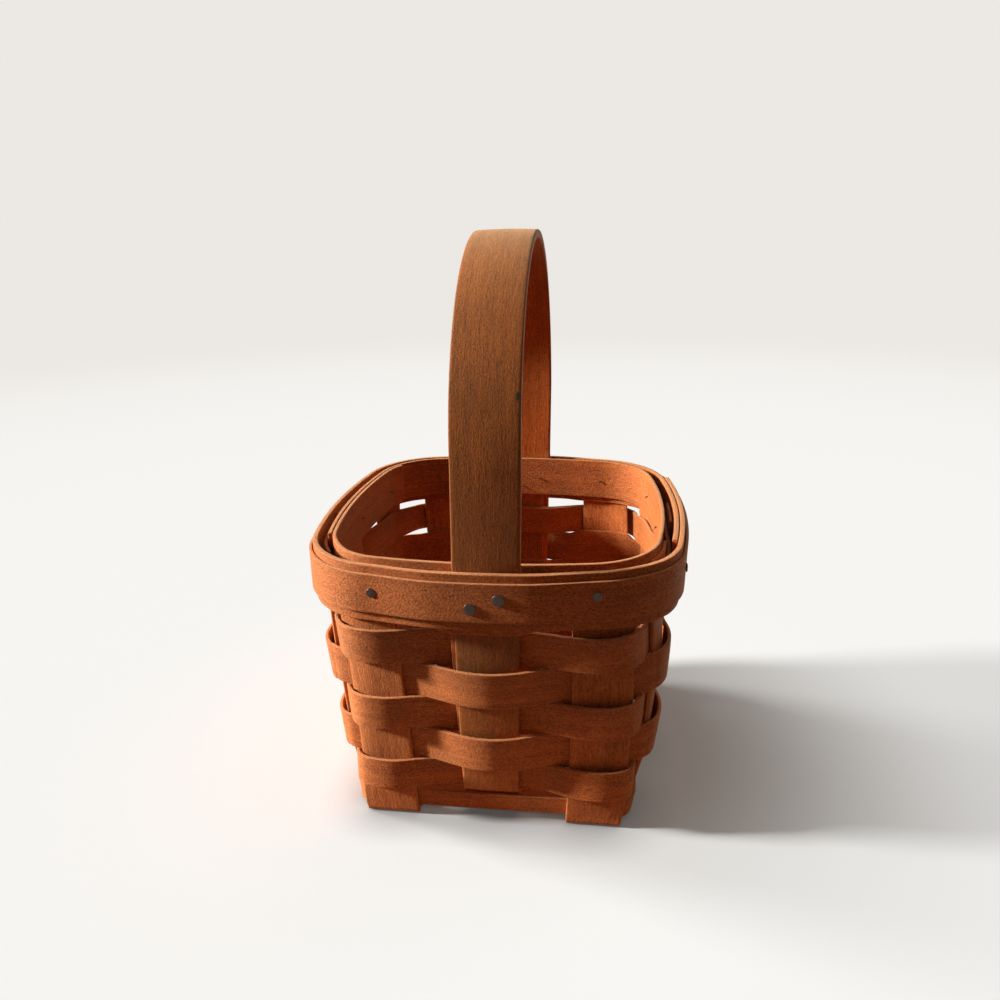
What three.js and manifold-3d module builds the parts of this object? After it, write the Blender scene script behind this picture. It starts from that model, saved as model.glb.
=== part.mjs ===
// A small square splint basket with a fixed hoop handle. Millimetres, +Z up.
// The origin is on the floor under the middle of the base. The front wall faces -Y,
// and the handle rises from the front wall over the basket to the back wall.
import * as THREE from "three";
import Module from "manifold-3d";

const library = await Module();
library.setup();
const { lerp, clamp, smoothstep, euclideanModulo } = THREE.MathUtils;

// Gap kept between two pieces that touch
const CLEARANCE = 0.3;

// Stakes: three flat strips each way, woven through each other in the base and bent up as the walls
const STAKE_WIDTH = 19.4;
const STAKE_THICKNESS = 1.2;
const STAKE_PITCH = 36.5;
const STAKE_SPLAY = 0.0009; // how much the stakes spread along their wall per millimetre of height
const BACK_LEFT_SHIFT = 5.5; // the left stake lands this much nearer to the middle at the back
const BEND_RADIUS = 1.6;
const BEND_SPACE = 1.5; // from the edge of the outermost crossing strip to the start of the bend
const STAKE_TOP_DROP = 2; // from the top of the outer band down to the cut ends of the stakes

// Walls: outward lean per millimetre of height, below the rim and within it
const WALL_FLARE = 0.143;
const RIM_FLARE = 0.05;

// Plan of the walls: a square with rounded corners and, higher up, bowed sides
const BASE_CORNER_RADIUS = 3;
const RIM_CORNER_RADIUS = 28;
const RIM_SIDE_RADIUS = 221;

// The right wall bows out between the base and the rim
const RIGHT_BOW = 2.2;
const BOW_FROM = 15; // across the basket, from its middle

// Weavers: horizontal strips, over one stake and under the next
const WEAVER_THICKNESS = 1.2;
const WEAVER_WIDTHS = [7.4, 11.7, 13.7, 13.2, 13.7, 13.4]; // from the floor up to the rim
const TOP_WEAVER_WIDTH = 13.4;
const ROW_GAP = 0.35;
const FIRST_ROW_GAP = 3.15; // the same above the first row
const FIRST_ROW_LIFT = 1.42; // first row above the end of the lower bends
const WEAVER_ARCH = 1.7; // how far a weaver arches away from a stake that it passes outside
const WEAVER_SAG = 0.3; // the same where it passes inside

// The rows don't run level. Each line is a place round the walls, and how much higher the second row,
// the one below the last full row and the last full row run there
const ROW_RISES = [
  [0, 0, 0, 0],
  [0.7, 0, 0, 0],
  [1.1, 3, 3.2, 3.2],
  [2, 2.5, 2.7, 2.8],
  [2.4, 1.5, 2.3, 3],
  [2.8, 0.6, 1.8, 3.2],
  [3.2, 0.6, 1.8, 3.2],
  [3.75, 0, 0, 0],
  [4, 0, 0, 0],
];
const FIRST_ROW_SHARE = 0.4; // the first row follows the second by this share

// Top row: it hides behind the rim and dips into sight where it crosses the handle's front leg
const SLIT_HEIGHT = 4.5;
const DIPPED_GAP = 0.7; // left between the dipped top row and the row below it

// Rim: an inner and an outer band clamp the stakes, the top row and the handle,
// and a trim covers the tacked line
const OUTER_BAND_THICKNESS = 1.8;
const OUTER_BAND_WIDTH = 19.6;
const OUTER_BAND_DROP = 1; // below the top row
const INNER_BAND_THICKNESS = 1.4;
const INNER_BAND_WIDTH = 16.5;
const INNER_BAND_RISE = 0.6; // above the outer band
const TRIM_THICKNESS = 1.1;
const TRIM_WIDTH = 13.6;
const TRIM_RISE = 2.7; // above the top row

// Handle: one bent strip, shaved thin where the weavers cross it
const HANDLE_THICKNESS = 2.8;
const HANDLE_WIDTH = 21.4;
const HANDLE_END_WIDTH = 19.8;
const HANDLE_TOP = 203.4;
const HANDLE_SPREAD = 1.1; // how far each leg moves out between the rim and the arch
const ARCH_STEPS = 26;
const HANDLE_SIDE_OFFSET = 3.2; // the arch sits this far to the right of the middle
const HANDLE_END_OFFSETS = [0.1, 1.2]; // the front end and the back end are nearer to the middle
const HANDLE_END_LIFT = 2.3; // its ends above the first row
const HANDLE_EDGE = 0.5; // bevel along its edges
const SHOULDER_HEIGHT = 1.2;
const LEG_RISE = 1; // how far a leg follows the wall above the rim before the arch spreads

// Laps: the side, and where the band's near end and far end are across it, from -1 to 1 between
// the outer edges of its stakes, or past them on the corners
const OUTER_BAND_LAP = { side: 1, near: -0.71, far: 0.78 };
const INNER_BAND_LAP = { side: 3, near: -1.07, far: 0.82 };
const TRIM_LAP = { side: 2, near: -0.43, far: 0.43 };

// Tacks
const TACK_HEAD_RADIUS = 2;
const TACK_HEAD_HEIGHT = 0.9;
const TACK_SHANK_RADIUS = 0.5;
const TACK_TIP_LENGTH = 2.4; // bent flat on the inner band
const TACK_SIDES = 8;

// Where each tack goes: the side, the stake across it, how far beside that stake's middle in halves
// of its width, and how far down the trim as a share of its width
const TACKS = {
  front_left: [0, -1, 0.26, 0.46],
  front_handle_left: [0, 0, -0.25, 0.65],
  front_handle_right: [0, 0, 0.65, 0.4],
  front_right: [0, 1, -0.05, 0.36],
  right_front: [1, -1, 0.05, 0.42],
  right_middle: [1, 0, 0.2, 0.48],
  right_back: [1, 1, -0.36, 0.39],
  back_right: [2, -1, 0.15, 0.43],
  back_handle_right: [2, 0, -0.72, 0.38],
  back_handle_left: [2, 0, 0.15, 0.63],
  back_left: [2, 1, -0.15, 0.4],
  left_back: [3, -1, 0.15, 0.46],
  left_middle: [3, 0, -0.1, 0.4],
  left_front: [3, 1, -0.05, 0.5],
};

const SIDES = 4;
const stakeEdge = STAKE_PITCH + STAKE_WIDTH / 2;
const lean = Math.atan(WALL_FLARE);
const lowLevel = STAKE_THICKNESS / 2;
const highLevel = lowLevel + STAKE_THICKNESS + CLEARANCE;
const bendTop = (level) => level + BEND_RADIUS * (1 - Math.sin(lean));
const baseHalf =
  stakeEdge + BEND_SPACE + BEND_RADIUS * Math.cos(lean) - WALL_FLARE * bendTop(lowLevel);

// Rows of weavers from the floor up, each with the heights of its lower and upper edge
const rows = [];
let bottom = bendTop(lowLevel) + FIRST_ROW_LIFT;
for (const width of WEAVER_WIDTHS) {
  rows.push({ bottom, top: bottom + width });
  bottom += width + (rows.length === 1 ? FIRST_ROW_GAP : ROW_GAP);
}
const [firstRow, secondRow] = rows;
const lastFullRow = rows.at(-1);
const topRowBottom = lastFullRow.top + SLIT_HEIGHT;
rows.push({ bottom: topRowBottom, top: topRowBottom + TOP_WEAVER_WIDTH });
const topRow = rows.length - 1;
const topRowDip = (side) => (side % SIDES === 0 ? SLIT_HEIGHT - DIPPED_GAP : 0);

// Heights of the rim
const outerBandBottom = topRowBottom - OUTER_BAND_DROP;
const outerBandTop = outerBandBottom + OUTER_BAND_WIDTH;
const innerBandTop = outerBandTop + INNER_BAND_RISE;
const innerBandBottom = innerBandTop - INNER_BAND_WIDTH;
const trimTop = rows[topRow].top + TRIM_RISE;
const trimBottom = trimTop - TRIM_WIDTH;
const stakeTop = outerBandTop - STAKE_TOP_DROP;

// Within the rim the stakes and the top row share the way round each other, half each
const layerStep = (STAKE_THICKNESS + WEAVER_THICKNESS) / 2 + CLEARANCE;
const rimShift = layerStep / 2;
const rimHalfStack = rimShift + Math.max(STAKE_THICKNESS, WEAVER_THICKNESS) / 2 + CLEARANCE;

// The handle's legs
const handleFace = STAKE_THICKNESS / 2 + CLEARANCE; // inner face of a leg, from the middle of its stake
const tailThickness = HANDLE_THICKNESS - WEAVER_THICKNESS - CLEARANCE;
const handleEnd = firstRow.top + HANDLE_END_LIFT;
const shoulder = (side) => rows[topRow].top - topRowDip(side) + CLEARANCE;
const legFree = outerBandTop + LEG_RISE;
const legHalfReach = HANDLE_SIDE_OFFSET + HANDLE_WIDTH / 2;
const handleBump = handleFace + HANDLE_THICKNESS + CLEARANCE - rimShift - rimHalfStack;

// A place round the walls is one number: its whole part is the side (0 front, 1 right, 2 back, 3 left),
// and its fraction runs across the side's stakes and then round the corner to the next side.
const SIDE_SHARE = 0.8;
const atShare = (side, share) => side + (SIDE_SHARE / 2) * (share + 1);
const at = (side, x) => atShare(side, x / stakeEdge);
const acrossSide = (place) => ((2 * (place - Math.floor(place))) / SIDE_SHARE - 1) * stakeEdge;

function plan(z) {
  const rise = clamp(z / innerBandTop, 0, 1);
  const half =
    baseHalf + WALL_FLARE * Math.min(z, lastFullRow.top) + RIM_FLARE * Math.max(0, z - lastFullRow.top);
  const corner = lerp(BASE_CORNER_RADIUS, RIM_CORNER_RADIUS, rise ** 0.9);
  const side = RIM_SIDE_RADIUS / Math.max(rise, 0.01);
  const sideCentre = half - side;
  const reach = side - corner;
  const cornerCentre = (sideCentre + Math.sqrt(2 * reach * reach - sideCentre * sideCentre)) / 2;
  const tangent = side * Math.sin(Math.atan2(cornerCentre, cornerCentre - sideCentre));
  return { corner, side, sideCentre, cornerCentre, tangent };
}

// The angle from a side's middle normal at which the corner leaves the outermost stake
function cornerStart(shape) {
  return Math.asin(clamp((stakeEdge - shape.cornerCentre) / shape.corner, 0, 0.7));
}

// A point beside the middle surface of the wall: at a place round it, a height and an outward offset
function wallPoint(place, z, offset = 0) {
  const shape = plan(z);
  const side = Math.floor(place);
  const share = place - side;
  let along, out, normal;
  if (share > SIDE_SHARE) {
    const start = cornerStart(shape);
    const angle = lerp(start, Math.PI / 2 - start, (share - SIDE_SHARE) / (1 - SIDE_SHARE));
    normal = [Math.sin(angle), Math.cos(angle)];
    along = shape.cornerCentre + shape.corner * normal[0];
    out = shape.cornerCentre + shape.corner * normal[1];
  } else {
    along = acrossSide(place);
    const bowed = Math.abs(along) <= shape.tangent;
    const radius = bowed ? shape.side : shape.corner;
    const centre = bowed ? 0 : shape.cornerCentre;
    const sine = (Math.sign(along) * (Math.abs(along) - centre)) / radius;
    normal = [sine, Math.sqrt(1 - sine * sine)];
    out = (bowed ? shape.sideCentre : shape.cornerCentre) + radius * normal[1];
  }
  const point = turned(side, along + offset * normal[0], out + offset * normal[1], z);
  point.x += bow(point);
  return point;
}

// How far the right wall bows out at a point
function bow({ x, z }) {
  const rise = clamp((z - firstRow.bottom) / (outerBandBottom - firstRow.bottom), 0, 1);
  return RIGHT_BOW * 4 * rise * (1 - rise) * smoothstep(x, BOW_FROM, stakeEdge);
}

// From a side's own axes, along it and out of it, to the basket's
function turned(side, along, out, z) {
  const axes = [
    [along, -out],
    [out, along],
    [-along, out],
    [-out, -along],
  ];
  return new THREE.Vector3(...axes[euclideanModulo(side, SIDES)], z);
}

// A closed body through rings of points, all with as many points; cap lists the triangles of one end
function loft(rings, cap) {
  const count = rings[0].length;
  const index = [];
  for (let i = 0; i + 1 < rings.length; i++)
    for (let j = 0; j < count; j++) {
      const a = i * count + j;
      const b = i * count + ((j + 1) % count);
      index.push(a, b, b + count, a, b + count, a + count);
    }
  const last = (rings.length - 1) * count;
  for (const [a, b, c] of cap) index.push(a, c, b, last + a, last + b, last + c);
  const points = rings.flat();
  if (signedVolume(points, index) < 0) index.reverse();
  return new THREE.BufferGeometry().setFromPoints(points).setIndex(index);
}

function signedVolume(points, index) {
  let sum = 0;
  const normal = new THREE.Vector3();
  for (let i = 0; i < index.length; i += 3)
    sum += points[index[i]].dot(normal.crossVectors(points[index[i + 1]], points[index[i + 2]]));
  return sum / 6;
}

// A flat strip through frames, each with its outer and its inner points from one edge to the other
function strip(frames) {
  const columns = frames[0].outer.length;
  const cap = [];
  for (let i = 0; i + 1 < columns; i++) {
    const inner = 2 * columns - 1 - i;
    cap.push([i, i + 1, inner - 1], [i, inner - 1, inner]);
  }
  return loft(
    frames.map(({ outer, inner }) => [...outer, ...[...inner].reverse()]),
    cap,
  );
}

// A strip that runs round the basket: each station is a place with its edges' heights and middle offsets
function hoop(stations, thickness) {
  return strip(
    stations.map(({ place, low, high, lowOffset, highOffset = lowOffset }) => ({
      outer: [
        wallPoint(place, low, lowOffset + thickness / 2),
        wallPoint(place, high, highOffset + thickness / 2),
      ],
      inner: [
        wallPoint(place, low, lowOffset - thickness / 2),
        wallPoint(place, high, highOffset - thickness / 2),
      ],
    })),
  );
}

// Whether a row passes outside a stake: index -1, 0 or 1 counts the stakes across a side
const passesOutside = (row, side, index) => (Math.abs(index) + row + side) % 2 === 0;

// How far a stake's middle is off the wall's middle surface. The first row and the top row run
// straight, so there the stakes go in and out
function stakeShift(side, index, z) {
  const fall = clamp((secondRow.top - z) / (secondRow.top - firstRow.top), 0, 1);
  const rise = clamp((z - lastFullRow.bottom) / (topRowBottom - lastFullRow.bottom), 0, 1);
  const low = layerStep * fall * (passesOutside(0, side, index) ? -1 : 1);
  return low + rimShift * rise * (passesOutside(topRow, side, index) ? -1 : 1);
}

// The middle of a stake across its wall at the base, and how much the stakes spread from there up
const stakeMiddle = (side, index) =>
  index * STAKE_PITCH - (side % SIDES === 2 && index === 1 ? BACK_LEFT_SHIFT : 0);
const splay = (z) => 1 + STAKE_SPLAY * Math.min(z, lastFullRow.top);

// Sideways middle and width of the handle's leg on side 0 (front) or 2 (back)
function legPlan(side, z) {
  const rise = clamp((z - handleEnd) / (archCentre() - handleEnd), 0, 1);
  return {
    middle: lerp(HANDLE_END_OFFSETS[side % 4 ? 1 : 0], HANDLE_SIDE_OFFSET, rise),
    width: lerp(HANDLE_END_WIDTH, HANDLE_WIDTH, clamp((z - handleEnd) / (legFree - handleEnd), 0, 1)),
  };
}

function archInnerRadius() {
  const face = stakeShift(0, 0, legFree) + handleFace;
  return -wallPoint(at(0, 0), legFree, face).y + HANDLE_SPREAD;
}

function archCentre() {
  return HANDLE_TOP - archInnerRadius() - HANDLE_THICKNESS;
}

// Where a row passes a stake: from and to across the side, and its middle's offset at a height
function crossing(row, side, index, layer = 0) {
  const outside = passesOutside(row, side, index);
  const overLeg = outside && index === 0 && side % 2 === 0 && rows[row].top > handleEnd;
  const spread = splay((rows[row].bottom + rows[row].top) / 2);
  let from = (stakeMiddle(side, index) - STAKE_WIDTH / 2) * spread;
  let to = from + STAKE_WIDTH * spread;
  if (overLeg) {
    const { middle, width } = legPlan(side, rows[row].top);
    const legFrom = (side % 4 ? -middle : middle) - width / 2 - CLEARANCE;
    from = Math.min(from, legFrom);
    to = Math.max(to, legFrom + width + 2 * CLEARANCE);
  }
  const thick = overLeg ? tailThickness + CLEARANCE : 0;
  const step = WEAVER_THICKNESS + CLEARANCE;
  const own = (outside ? layerStep + thick : -layerStep) + layer * step;
  const offset = (z) => stakeShift(side, index, z) + own;
  const straight = row === 0 || row === topRow;
  const arch = straight ? 0 : outside ? WEAVER_ARCH : -WEAVER_SAG;
  const marks = index === 0 ? [0, 0.25, 0.5, 0.75, 1] : index < 0 ? [0, 0.25, 0.5, 1] : [0, 0.5, 0.75, 1];
  return { side, from, to, offset, arch, marks };
}

// Heights of a row's edges at a place: the top row dips at the handle, and the others rise
function rowEdges(row, place) {
  const change = row === topRow ? -dipAt(place) : riseAt(row, place % SIDES);
  return { low: rows[row].bottom + change, high: rows[row].top + change };
}

function dipAt(place) {
  if (place % 1 > SIDE_SHARE) return 0;
  const distance = Math.abs(acrossSide(place));
  return topRowDip(Math.floor(place)) * (1 - smoothstep(distance, STAKE_WIDTH / 2, STAKE_PITCH - STAKE_WIDTH / 2));
}

function riseAt(row, place) {
  const next = ROW_RISES.findIndex(([there]) => there > place);
  const [from, ...before] = ROW_RISES[next - 1];
  const [to, ...after] = ROW_RISES[next];
  const [second, nextToLast, last] = before.map((rise, i) => lerp(rise, after[i], smoothstep(place, from, to)));
  if (row === 0) return FIRST_ROW_SHARE * second;
  if (row === topRow - 1) return last;
  return lerp(second, nextToLast, (row - 1) / (topRow - 3));
}

// A weaver starts outside a stake at the back or the left, goes round, covers its own start and
// ends inside the next stake. The top row has no room to lap, so its ends meet over that first stake.
function weaver(row) {
  const lapSide = row % 2 ? 2 : 3;
  const laps = row !== topRow;
  const passes = [];
  const wholeTurn = 3 * SIDES;
  for (let n = 0; n <= wholeTurn + (laps ? 1 : 0); n++) {
    const side = lapSide + Math.floor(n / 3);
    const layer = laps && n === 1 ? -1 : laps && n === wholeTurn ? 1 : 0;
    passes.push(crossing(row, side, (n % 3) - 1, layer));
  }
  const stations = [];
  const add = (place, offsetAt) => {
    const edges = rowEdges(row, place);
    stations.push({ place, ...edges, lowOffset: offsetAt(edges.low), highOffset: offsetAt(edges.high) });
  };
  passes.forEach((pass, n) => {
    const first = n === 0;
    const final = n === passes.length - 1;
    for (const mark of pass.marks) {
      if ((first && mark < 0.5) || (final && mark > 0.5)) continue;
      const nudge = laps || mark !== 0.5 ? 0 : first ? CLEARANCE : final ? -CLEARANCE : 0;
      const x = lerp(pass.from, pass.to, mark) + nudge;
      const bulge = pass.arch * (1 - (2 * mark - 1) ** 2);
      add(at(pass.side, x), (z) => pass.offset(z) + bulge);
    }
    if (final) return;
    const next = passes[n + 1];
    const round = next.side !== pass.side;
    for (const f of round ? [0.2, 0.4, 0.6, 0.8] : [1 / 3, 2 / 3])
      add(lerp(at(pass.side, pass.to), at(next.side, next.from), f), (z) => between(pass, next, f, z, round));
  });
  return hoop(stations, WEAVER_THICKNESS);
}

// The offset at a share of the way from one crossing to the next, a smooth curve with both ends' slopes
function between(pass, next, f, z, round) {
  const shape = plan(z);
  const length = round
    ? shape.corner * (Math.PI / 2 - 2 * cornerStart(shape)) + 2 * stakeEdge - pass.to + next.from
    : next.from - pass.to;
  const startSlope = (-4 * pass.arch * length) / (pass.to - pass.from);
  const endSlope = (4 * next.arch * length) / (next.to - next.from);
  const f2 = f * f;
  const f3 = f2 * f;
  return (
    (2 * f3 - 3 * f2 + 1) * pass.offset(z) +
    (f3 - 2 * f2 + f) * startSlope +
    (3 * f2 - 2 * f3) * next.offset(z) +
    (f3 - f2) * endSlope
  );
}

// A stake: up one wall, across the base through the strips of the other set, and up the opposite wall.
// side is the wall where it starts, and index its place across that wall.
function stake(side, index) {
  const mirrored = side + 2;
  const marks = index === 0 ? [0, 0.5, 1] : index < 0 ? [0, 0.25, 0.5, 1] : [0, 0.5, 0.75, 1];
  const columnsAt = (middle) => marks.map((mark) => middle + (mark - 0.5) * STAKE_WIDTH);
  const near = columnsAt(stakeMiddle(side, index));
  const far = columnsAt(-stakeMiddle(mirrored, -index));
  const level = (crossed) => (Math.abs((index + crossed) % 2) === side ? lowLevel : highLevel);
  const frames = [];

  const wall = (wallSide, columns, z) => {
    const shift = stakeShift(wallSide, index, z);
    const places = columns.map((x) => at(wallSide, x * splay(z)));
    return {
      outer: places.map((place) => wallPoint(place, z, shift + STAKE_THICKNESS / 2)),
      inner: places.map((place) => wallPoint(place, z, shift - STAKE_THICKNESS / 2)),
    };
  };
  const heights = [stakeTop, innerBandBottom, outerBandBottom];
  for (let row = topRow - 1; row >= 0; row--) heights.push(rows[row].top, rows[row].bottom);

  const base = level(1);
  const bendStart = (wallSide) =>
    wallOut(bendTop(base)) - BEND_RADIUS * Math.cos(lean) + stakeShift(wallSide, index, base);
  const bend = (wallSide, columns, angle) => {
    const start = bendStart(wallSide);
    const face = (radius) =>
      columns.map((x) =>
        turned(wallSide, x, start + radius * Math.sin(angle), base + BEND_RADIUS - radius * Math.cos(angle)),
      );
    return { outer: face(BEND_RADIUS + STAKE_THICKNESS / 2), inner: face(BEND_RADIUS - STAKE_THICKNESS / 2) };
  };
  const bendAngles = [1, 2 / 3, 1 / 3, 0].map((share) => share * (Math.PI / 2 - lean));

  const flat = (out, z) => {
    const share = (stakeEdge - out) / (2 * stakeEdge);
    const columns = near.map((x, i) => lerp(x, far[i], share));
    return {
      outer: columns.map((x) => turned(side, x, out, z - STAKE_THICKNESS / 2)),
      inner: columns.map((x) => turned(side, x, out, z + STAKE_THICKNESS / 2)),
    };
  };

  for (const z of heights) if (z > bendTop(base)) frames.push(wall(side, near, z));
  for (const angle of bendAngles) frames.push(bend(side, near, angle));
  const crossings = [1, 0, -1].map((crossed) => crossedStake(side, index, crossed));
  crossings.forEach(([low, high], i) => {
    const own = level(1 - i);
    if (i > 0) frames.push(flat(high, own));
    if (i + 1 < crossings.length) {
      const to = crossings[i + 1][1];
      frames.push(flat(low, own));
      for (const f of [1 / 3, 2 / 3])
        frames.push(flat(lerp(low, to, f), lerp(own, level(-i), smoothstep(f, 0, 1))));
    }
  });
  const back = far.map((x) => -x);
  for (const angle of [...bendAngles].reverse()) frames.push(bend(mirrored, back, angle));
  for (const z of [...heights].reverse()) if (z > bendTop(base)) frames.push(wall(mirrored, back, z));
  return strip(frames);
}

// From and to, along a stake in the base, of a strip that it crosses. A strip that lands nearer to
// the middle at the back runs askew, so it takes more room
function crossedStake(side, index, crossed) {
  const near = crossed * STAKE_PITCH;
  let middle = near;
  let slant = 0;
  if (side === 1) {
    const far = -stakeMiddle(2, -crossed);
    const share = (index * STAKE_PITCH + stakeEdge) / (2 * stakeEdge);
    middle = lerp(near, far, share);
    slant = (Math.abs(far - near) * STAKE_WIDTH) / (4 * stakeEdge);
  }
  const reach = STAKE_WIDTH / 2 + CLEARANCE + slant;
  return [middle - reach, middle + reach];
}

function wallOut(z) {
  return -wallPoint(at(0, 0), z).y;
}

// The handle's section at one place: its columns run from edge to edge, with a bevel on each edge
function handleFrame(columns, thickness, facePoint) {
  const bevel = Math.min(HANDLE_EDGE, thickness / 3);
  const trimmed = columns.map((x, i) => (i === 0 || i === columns.length - 1 ? bevel : 0));
  return {
    outer: columns.map((x, i) => facePoint(x, thickness - trimmed[i])),
    inner: columns.map((x, i) => facePoint(x, trimmed[i])),
  };
}

function handleColumns({ middle, width }) {
  const half = width / 2;
  return [-half, HANDLE_EDGE - half, 0, half - HANDLE_EDGE, half].map((x) => middle + x);
}

function legFrames(side) {
  const sign = side === 0 ? 1 : -1;
  const heights = [handleEnd];
  for (let row = 1; row < topRow; row++) heights.push(rows[row].bottom, rows[row].top);
  heights.push(shoulder(side), shoulder(side) + SHOULDER_HEIGHT, outerBandTop, legFree);
  return heights.map((z) => {
    const thickness = z > shoulder(side) ? HANDLE_THICKNESS : tailThickness;
    const face = stakeShift(side, 0, z) + handleFace;
    const point = (x, depth) => wallPoint(at(side, sign * x), z, face + depth);
    return handleFrame(handleColumns(legPlan(side, z)), thickness, point);
  });
}

function handle() {
  const radius = archInnerRadius();
  const centre = archCentre();
  const arch = [];
  const columns = handleColumns({ middle: HANDLE_SIDE_OFFSET, width: HANDLE_WIDTH });
  for (let i = 0; i <= ARCH_STEPS; i++) {
    const angle = (Math.PI * i) / ARCH_STEPS;
    const point = (x, depth) => {
      const reach = radius + depth;
      return new THREE.Vector3(x, -reach * Math.cos(angle), centre + reach * Math.sin(angle));
    };
    arch.push(handleFrame(columns, HANDLE_THICKNESS, point));
  }
  return strip([...legFrames(0), ...arch, ...legFrames(2).reverse()]);
}

// How far the handle pushes the outer bands out, along the front and the back
function bump(place) {
  const side = Math.floor(place);
  if (side % 2 || place - side > SIDE_SHARE) return 0;
  return handleBump * (1 - smoothstep(Math.abs(acrossSide(place)), legHalfReach, STAKE_PITCH));
}

// A band goes once round and past its own near end: its ends as places, and what a lap adds
function band({ side, near, far }, thickness, bottom, top) {
  const start = atShare(side, near);
  const end = atShare(side + SIDES, far);
  return { start, end, lap: thickness + CLEARANCE, thickness, bottom, top };
}

const outerBand = band(OUTER_BAND_LAP, OUTER_BAND_THICKNESS, outerBandBottom, outerBandTop);
const innerBand = band(INNER_BAND_LAP, INNER_BAND_THICKNESS, innerBandBottom, innerBandTop);
const trim = band(TRIM_LAP, TRIM_THICKNESS, trimBottom, trimTop);

// A band steps from one layer to the next over this share of a side, this far from the end it clears
const CLIMB = 0.35;
const CLIMB_MARGIN = 0.03;
const climbBefore = (place, end) => smoothstep(place, end - CLIMB_MARGIN - CLIMB, end - CLIMB_MARGIN);
const climbAfter = (place, end) => smoothstep(place, end + CLIMB_MARGIN, end + CLIMB_MARGIN + CLIMB);

// Inner face of the outer band, whose far end climbs over its near end
function outerBandFace(place) {
  return rimHalfStack + bump(place) + outerBand.lap * climbBefore(place, outerBand.start + SIDES);
}

// Inner face of the trim: it clears the outer band's outermost layer, then its own near end
function trimFace(place) {
  const turn = place % SIDES;
  const layers = climbBefore(turn, outerBand.start) - climbAfter(turn, outerBand.end - SIDES);
  const own = trim.lap * climbBefore(place, trim.start + SIDES);
  return rimHalfStack + bump(place) + outerBand.lap * (1 + layers) + own;
}

// Outer face of the inner band, whose near end runs inside its far end
function innerBandFace(place) {
  return -rimHalfStack - innerBand.lap * (1 - climbAfter(place, innerBand.end - SIDES));
}

// Places along a band, closer together towards the corners
function bandPlaces({ start, end }) {
  const halfSteps = 7;
  const cornerSteps = 4;
  const leastStep = 0.02;
  const places = [];
  for (let side = Math.floor(start); side <= end; side++) {
    for (let i = -halfSteps; i <= halfSteps; i++)
      places.push(atShare(side, Math.sin((Math.PI / 2) * (i / halfSteps))));
    for (let i = 1; i < cornerSteps; i++) places.push(side + lerp(SIDE_SHARE, 1, i / cornerSteps));
  }
  return [start, ...places.filter((place) => place > start + leastStep && place < end - leastStep), end];
}

function bandPiece(shape, middle) {
  const stations = bandPlaces(shape).map((place) => ({
    place,
    low: shape.bottom,
    high: shape.top,
    lowOffset: middle(place),
  }));
  return hoop(stations, shape.thickness);
}

// The frame of a tack whose head sits on the trim: depth is from under the head to the innermost face
function tackFrame([side, index, beside, below]) {
  const place = at(side, index * STAKE_PITCH + (beside * STAKE_WIDTH) / 2);
  const z = trimTop - below * TRIM_WIDTH;
  const outermost = place + SIDES <= trim.end && place + SIDES >= trim.start ? place + SIDES : place;
  const innermost = place >= innerBand.start ? place : place + SIDES;
  const face = trimFace(outermost) + TRIM_THICKNESS + CLEARANCE;
  const inner = innerBandFace(innermost) - INNER_BAND_THICKNESS - CLEARANCE;
  const origin = wallPoint(place, z, face);
  const inward = wallPoint(place, z, inner).sub(origin);
  const depth = inward.length();
  inward.normalize();
  const up = new THREE.Vector3(0, 0, 1);
  return { origin, inward, up, sideways: new THREE.Vector3().crossVectors(up, inward), depth };
}

// A ring of points round a tack: depth runs into the basket, drop runs down, tilt turns the ring down
function tackRing(frame, depth, drop, radius, tilt = 0) {
  const ring = [];
  for (let i = 0; i < TACK_SIDES; i++) {
    const angle = (2 * Math.PI * (i + 0.5)) / TACK_SIDES;
    const upward = radius * Math.sin(angle);
    ring.push(
      frame.origin
        .clone()
        .addScaledVector(frame.inward, depth + upward * Math.sin(tilt))
        .addScaledVector(frame.sideways, radius * Math.cos(angle))
        .addScaledVector(frame.up, upward * Math.cos(tilt) - drop),
    );
  }
  return ring;
}

const tackCap = Array.from({ length: TACK_SIDES - 2 }, (_, i) => [0, i + 1, i + 2]);

// A tack: a low domed head, a shank through every layer, and a tip bent down flat inside
function tack(frame) {
  const shank = TACK_SHANK_RADIUS;
  const headProfile = [
    [1, 0.6],
    [0.6, 0.93],
    [0, 1],
  ];
  const head = headProfile.map(([tall, wide]) =>
    tackRing(frame, -tall * TACK_HEAD_HEIGHT, 0, wide * TACK_HEAD_RADIUS),
  );
  const bent = frame.depth + 1.1 * shank;
  return loft(
    [
      ...head,
      tackRing(frame, 0, 0, shank),
      tackRing(frame, frame.depth + 0.4 * shank, 0, shank),
      tackRing(frame, bent, 0.6 * shank, shank, Math.PI / 4),
      tackRing(frame, bent, TACK_TIP_LENGTH, 0.35 * shank, Math.PI / 2),
    ],
    tackCap,
  );
}

function tackHole(frame) {
  const radius = TACK_SHANK_RADIUS + CLEARANCE;
  const past = 2 * CLEARANCE;
  return loft([tackRing(frame, -past, 0, radius), tackRing(frame, frame.depth + past, 0, radius)], tackCap);
}

function toSolid(geometry) {
  return new library.Manifold(
    new library.Mesh({
      numProp: 3,
      vertProperties: new Float32Array(geometry.getAttribute("position").array),
      triVerts: new Uint32Array(geometry.index.array),
    }),
  );
}

const tackFrames = Object.entries(TACKS).map(([name, place]) => [name, tackFrame(place)]);
const tackHoles = tackFrames
  .map(([, frame]) => toSolid(tackHole(frame)))
  .reduce((all, hole) => all.add(hole));

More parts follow.
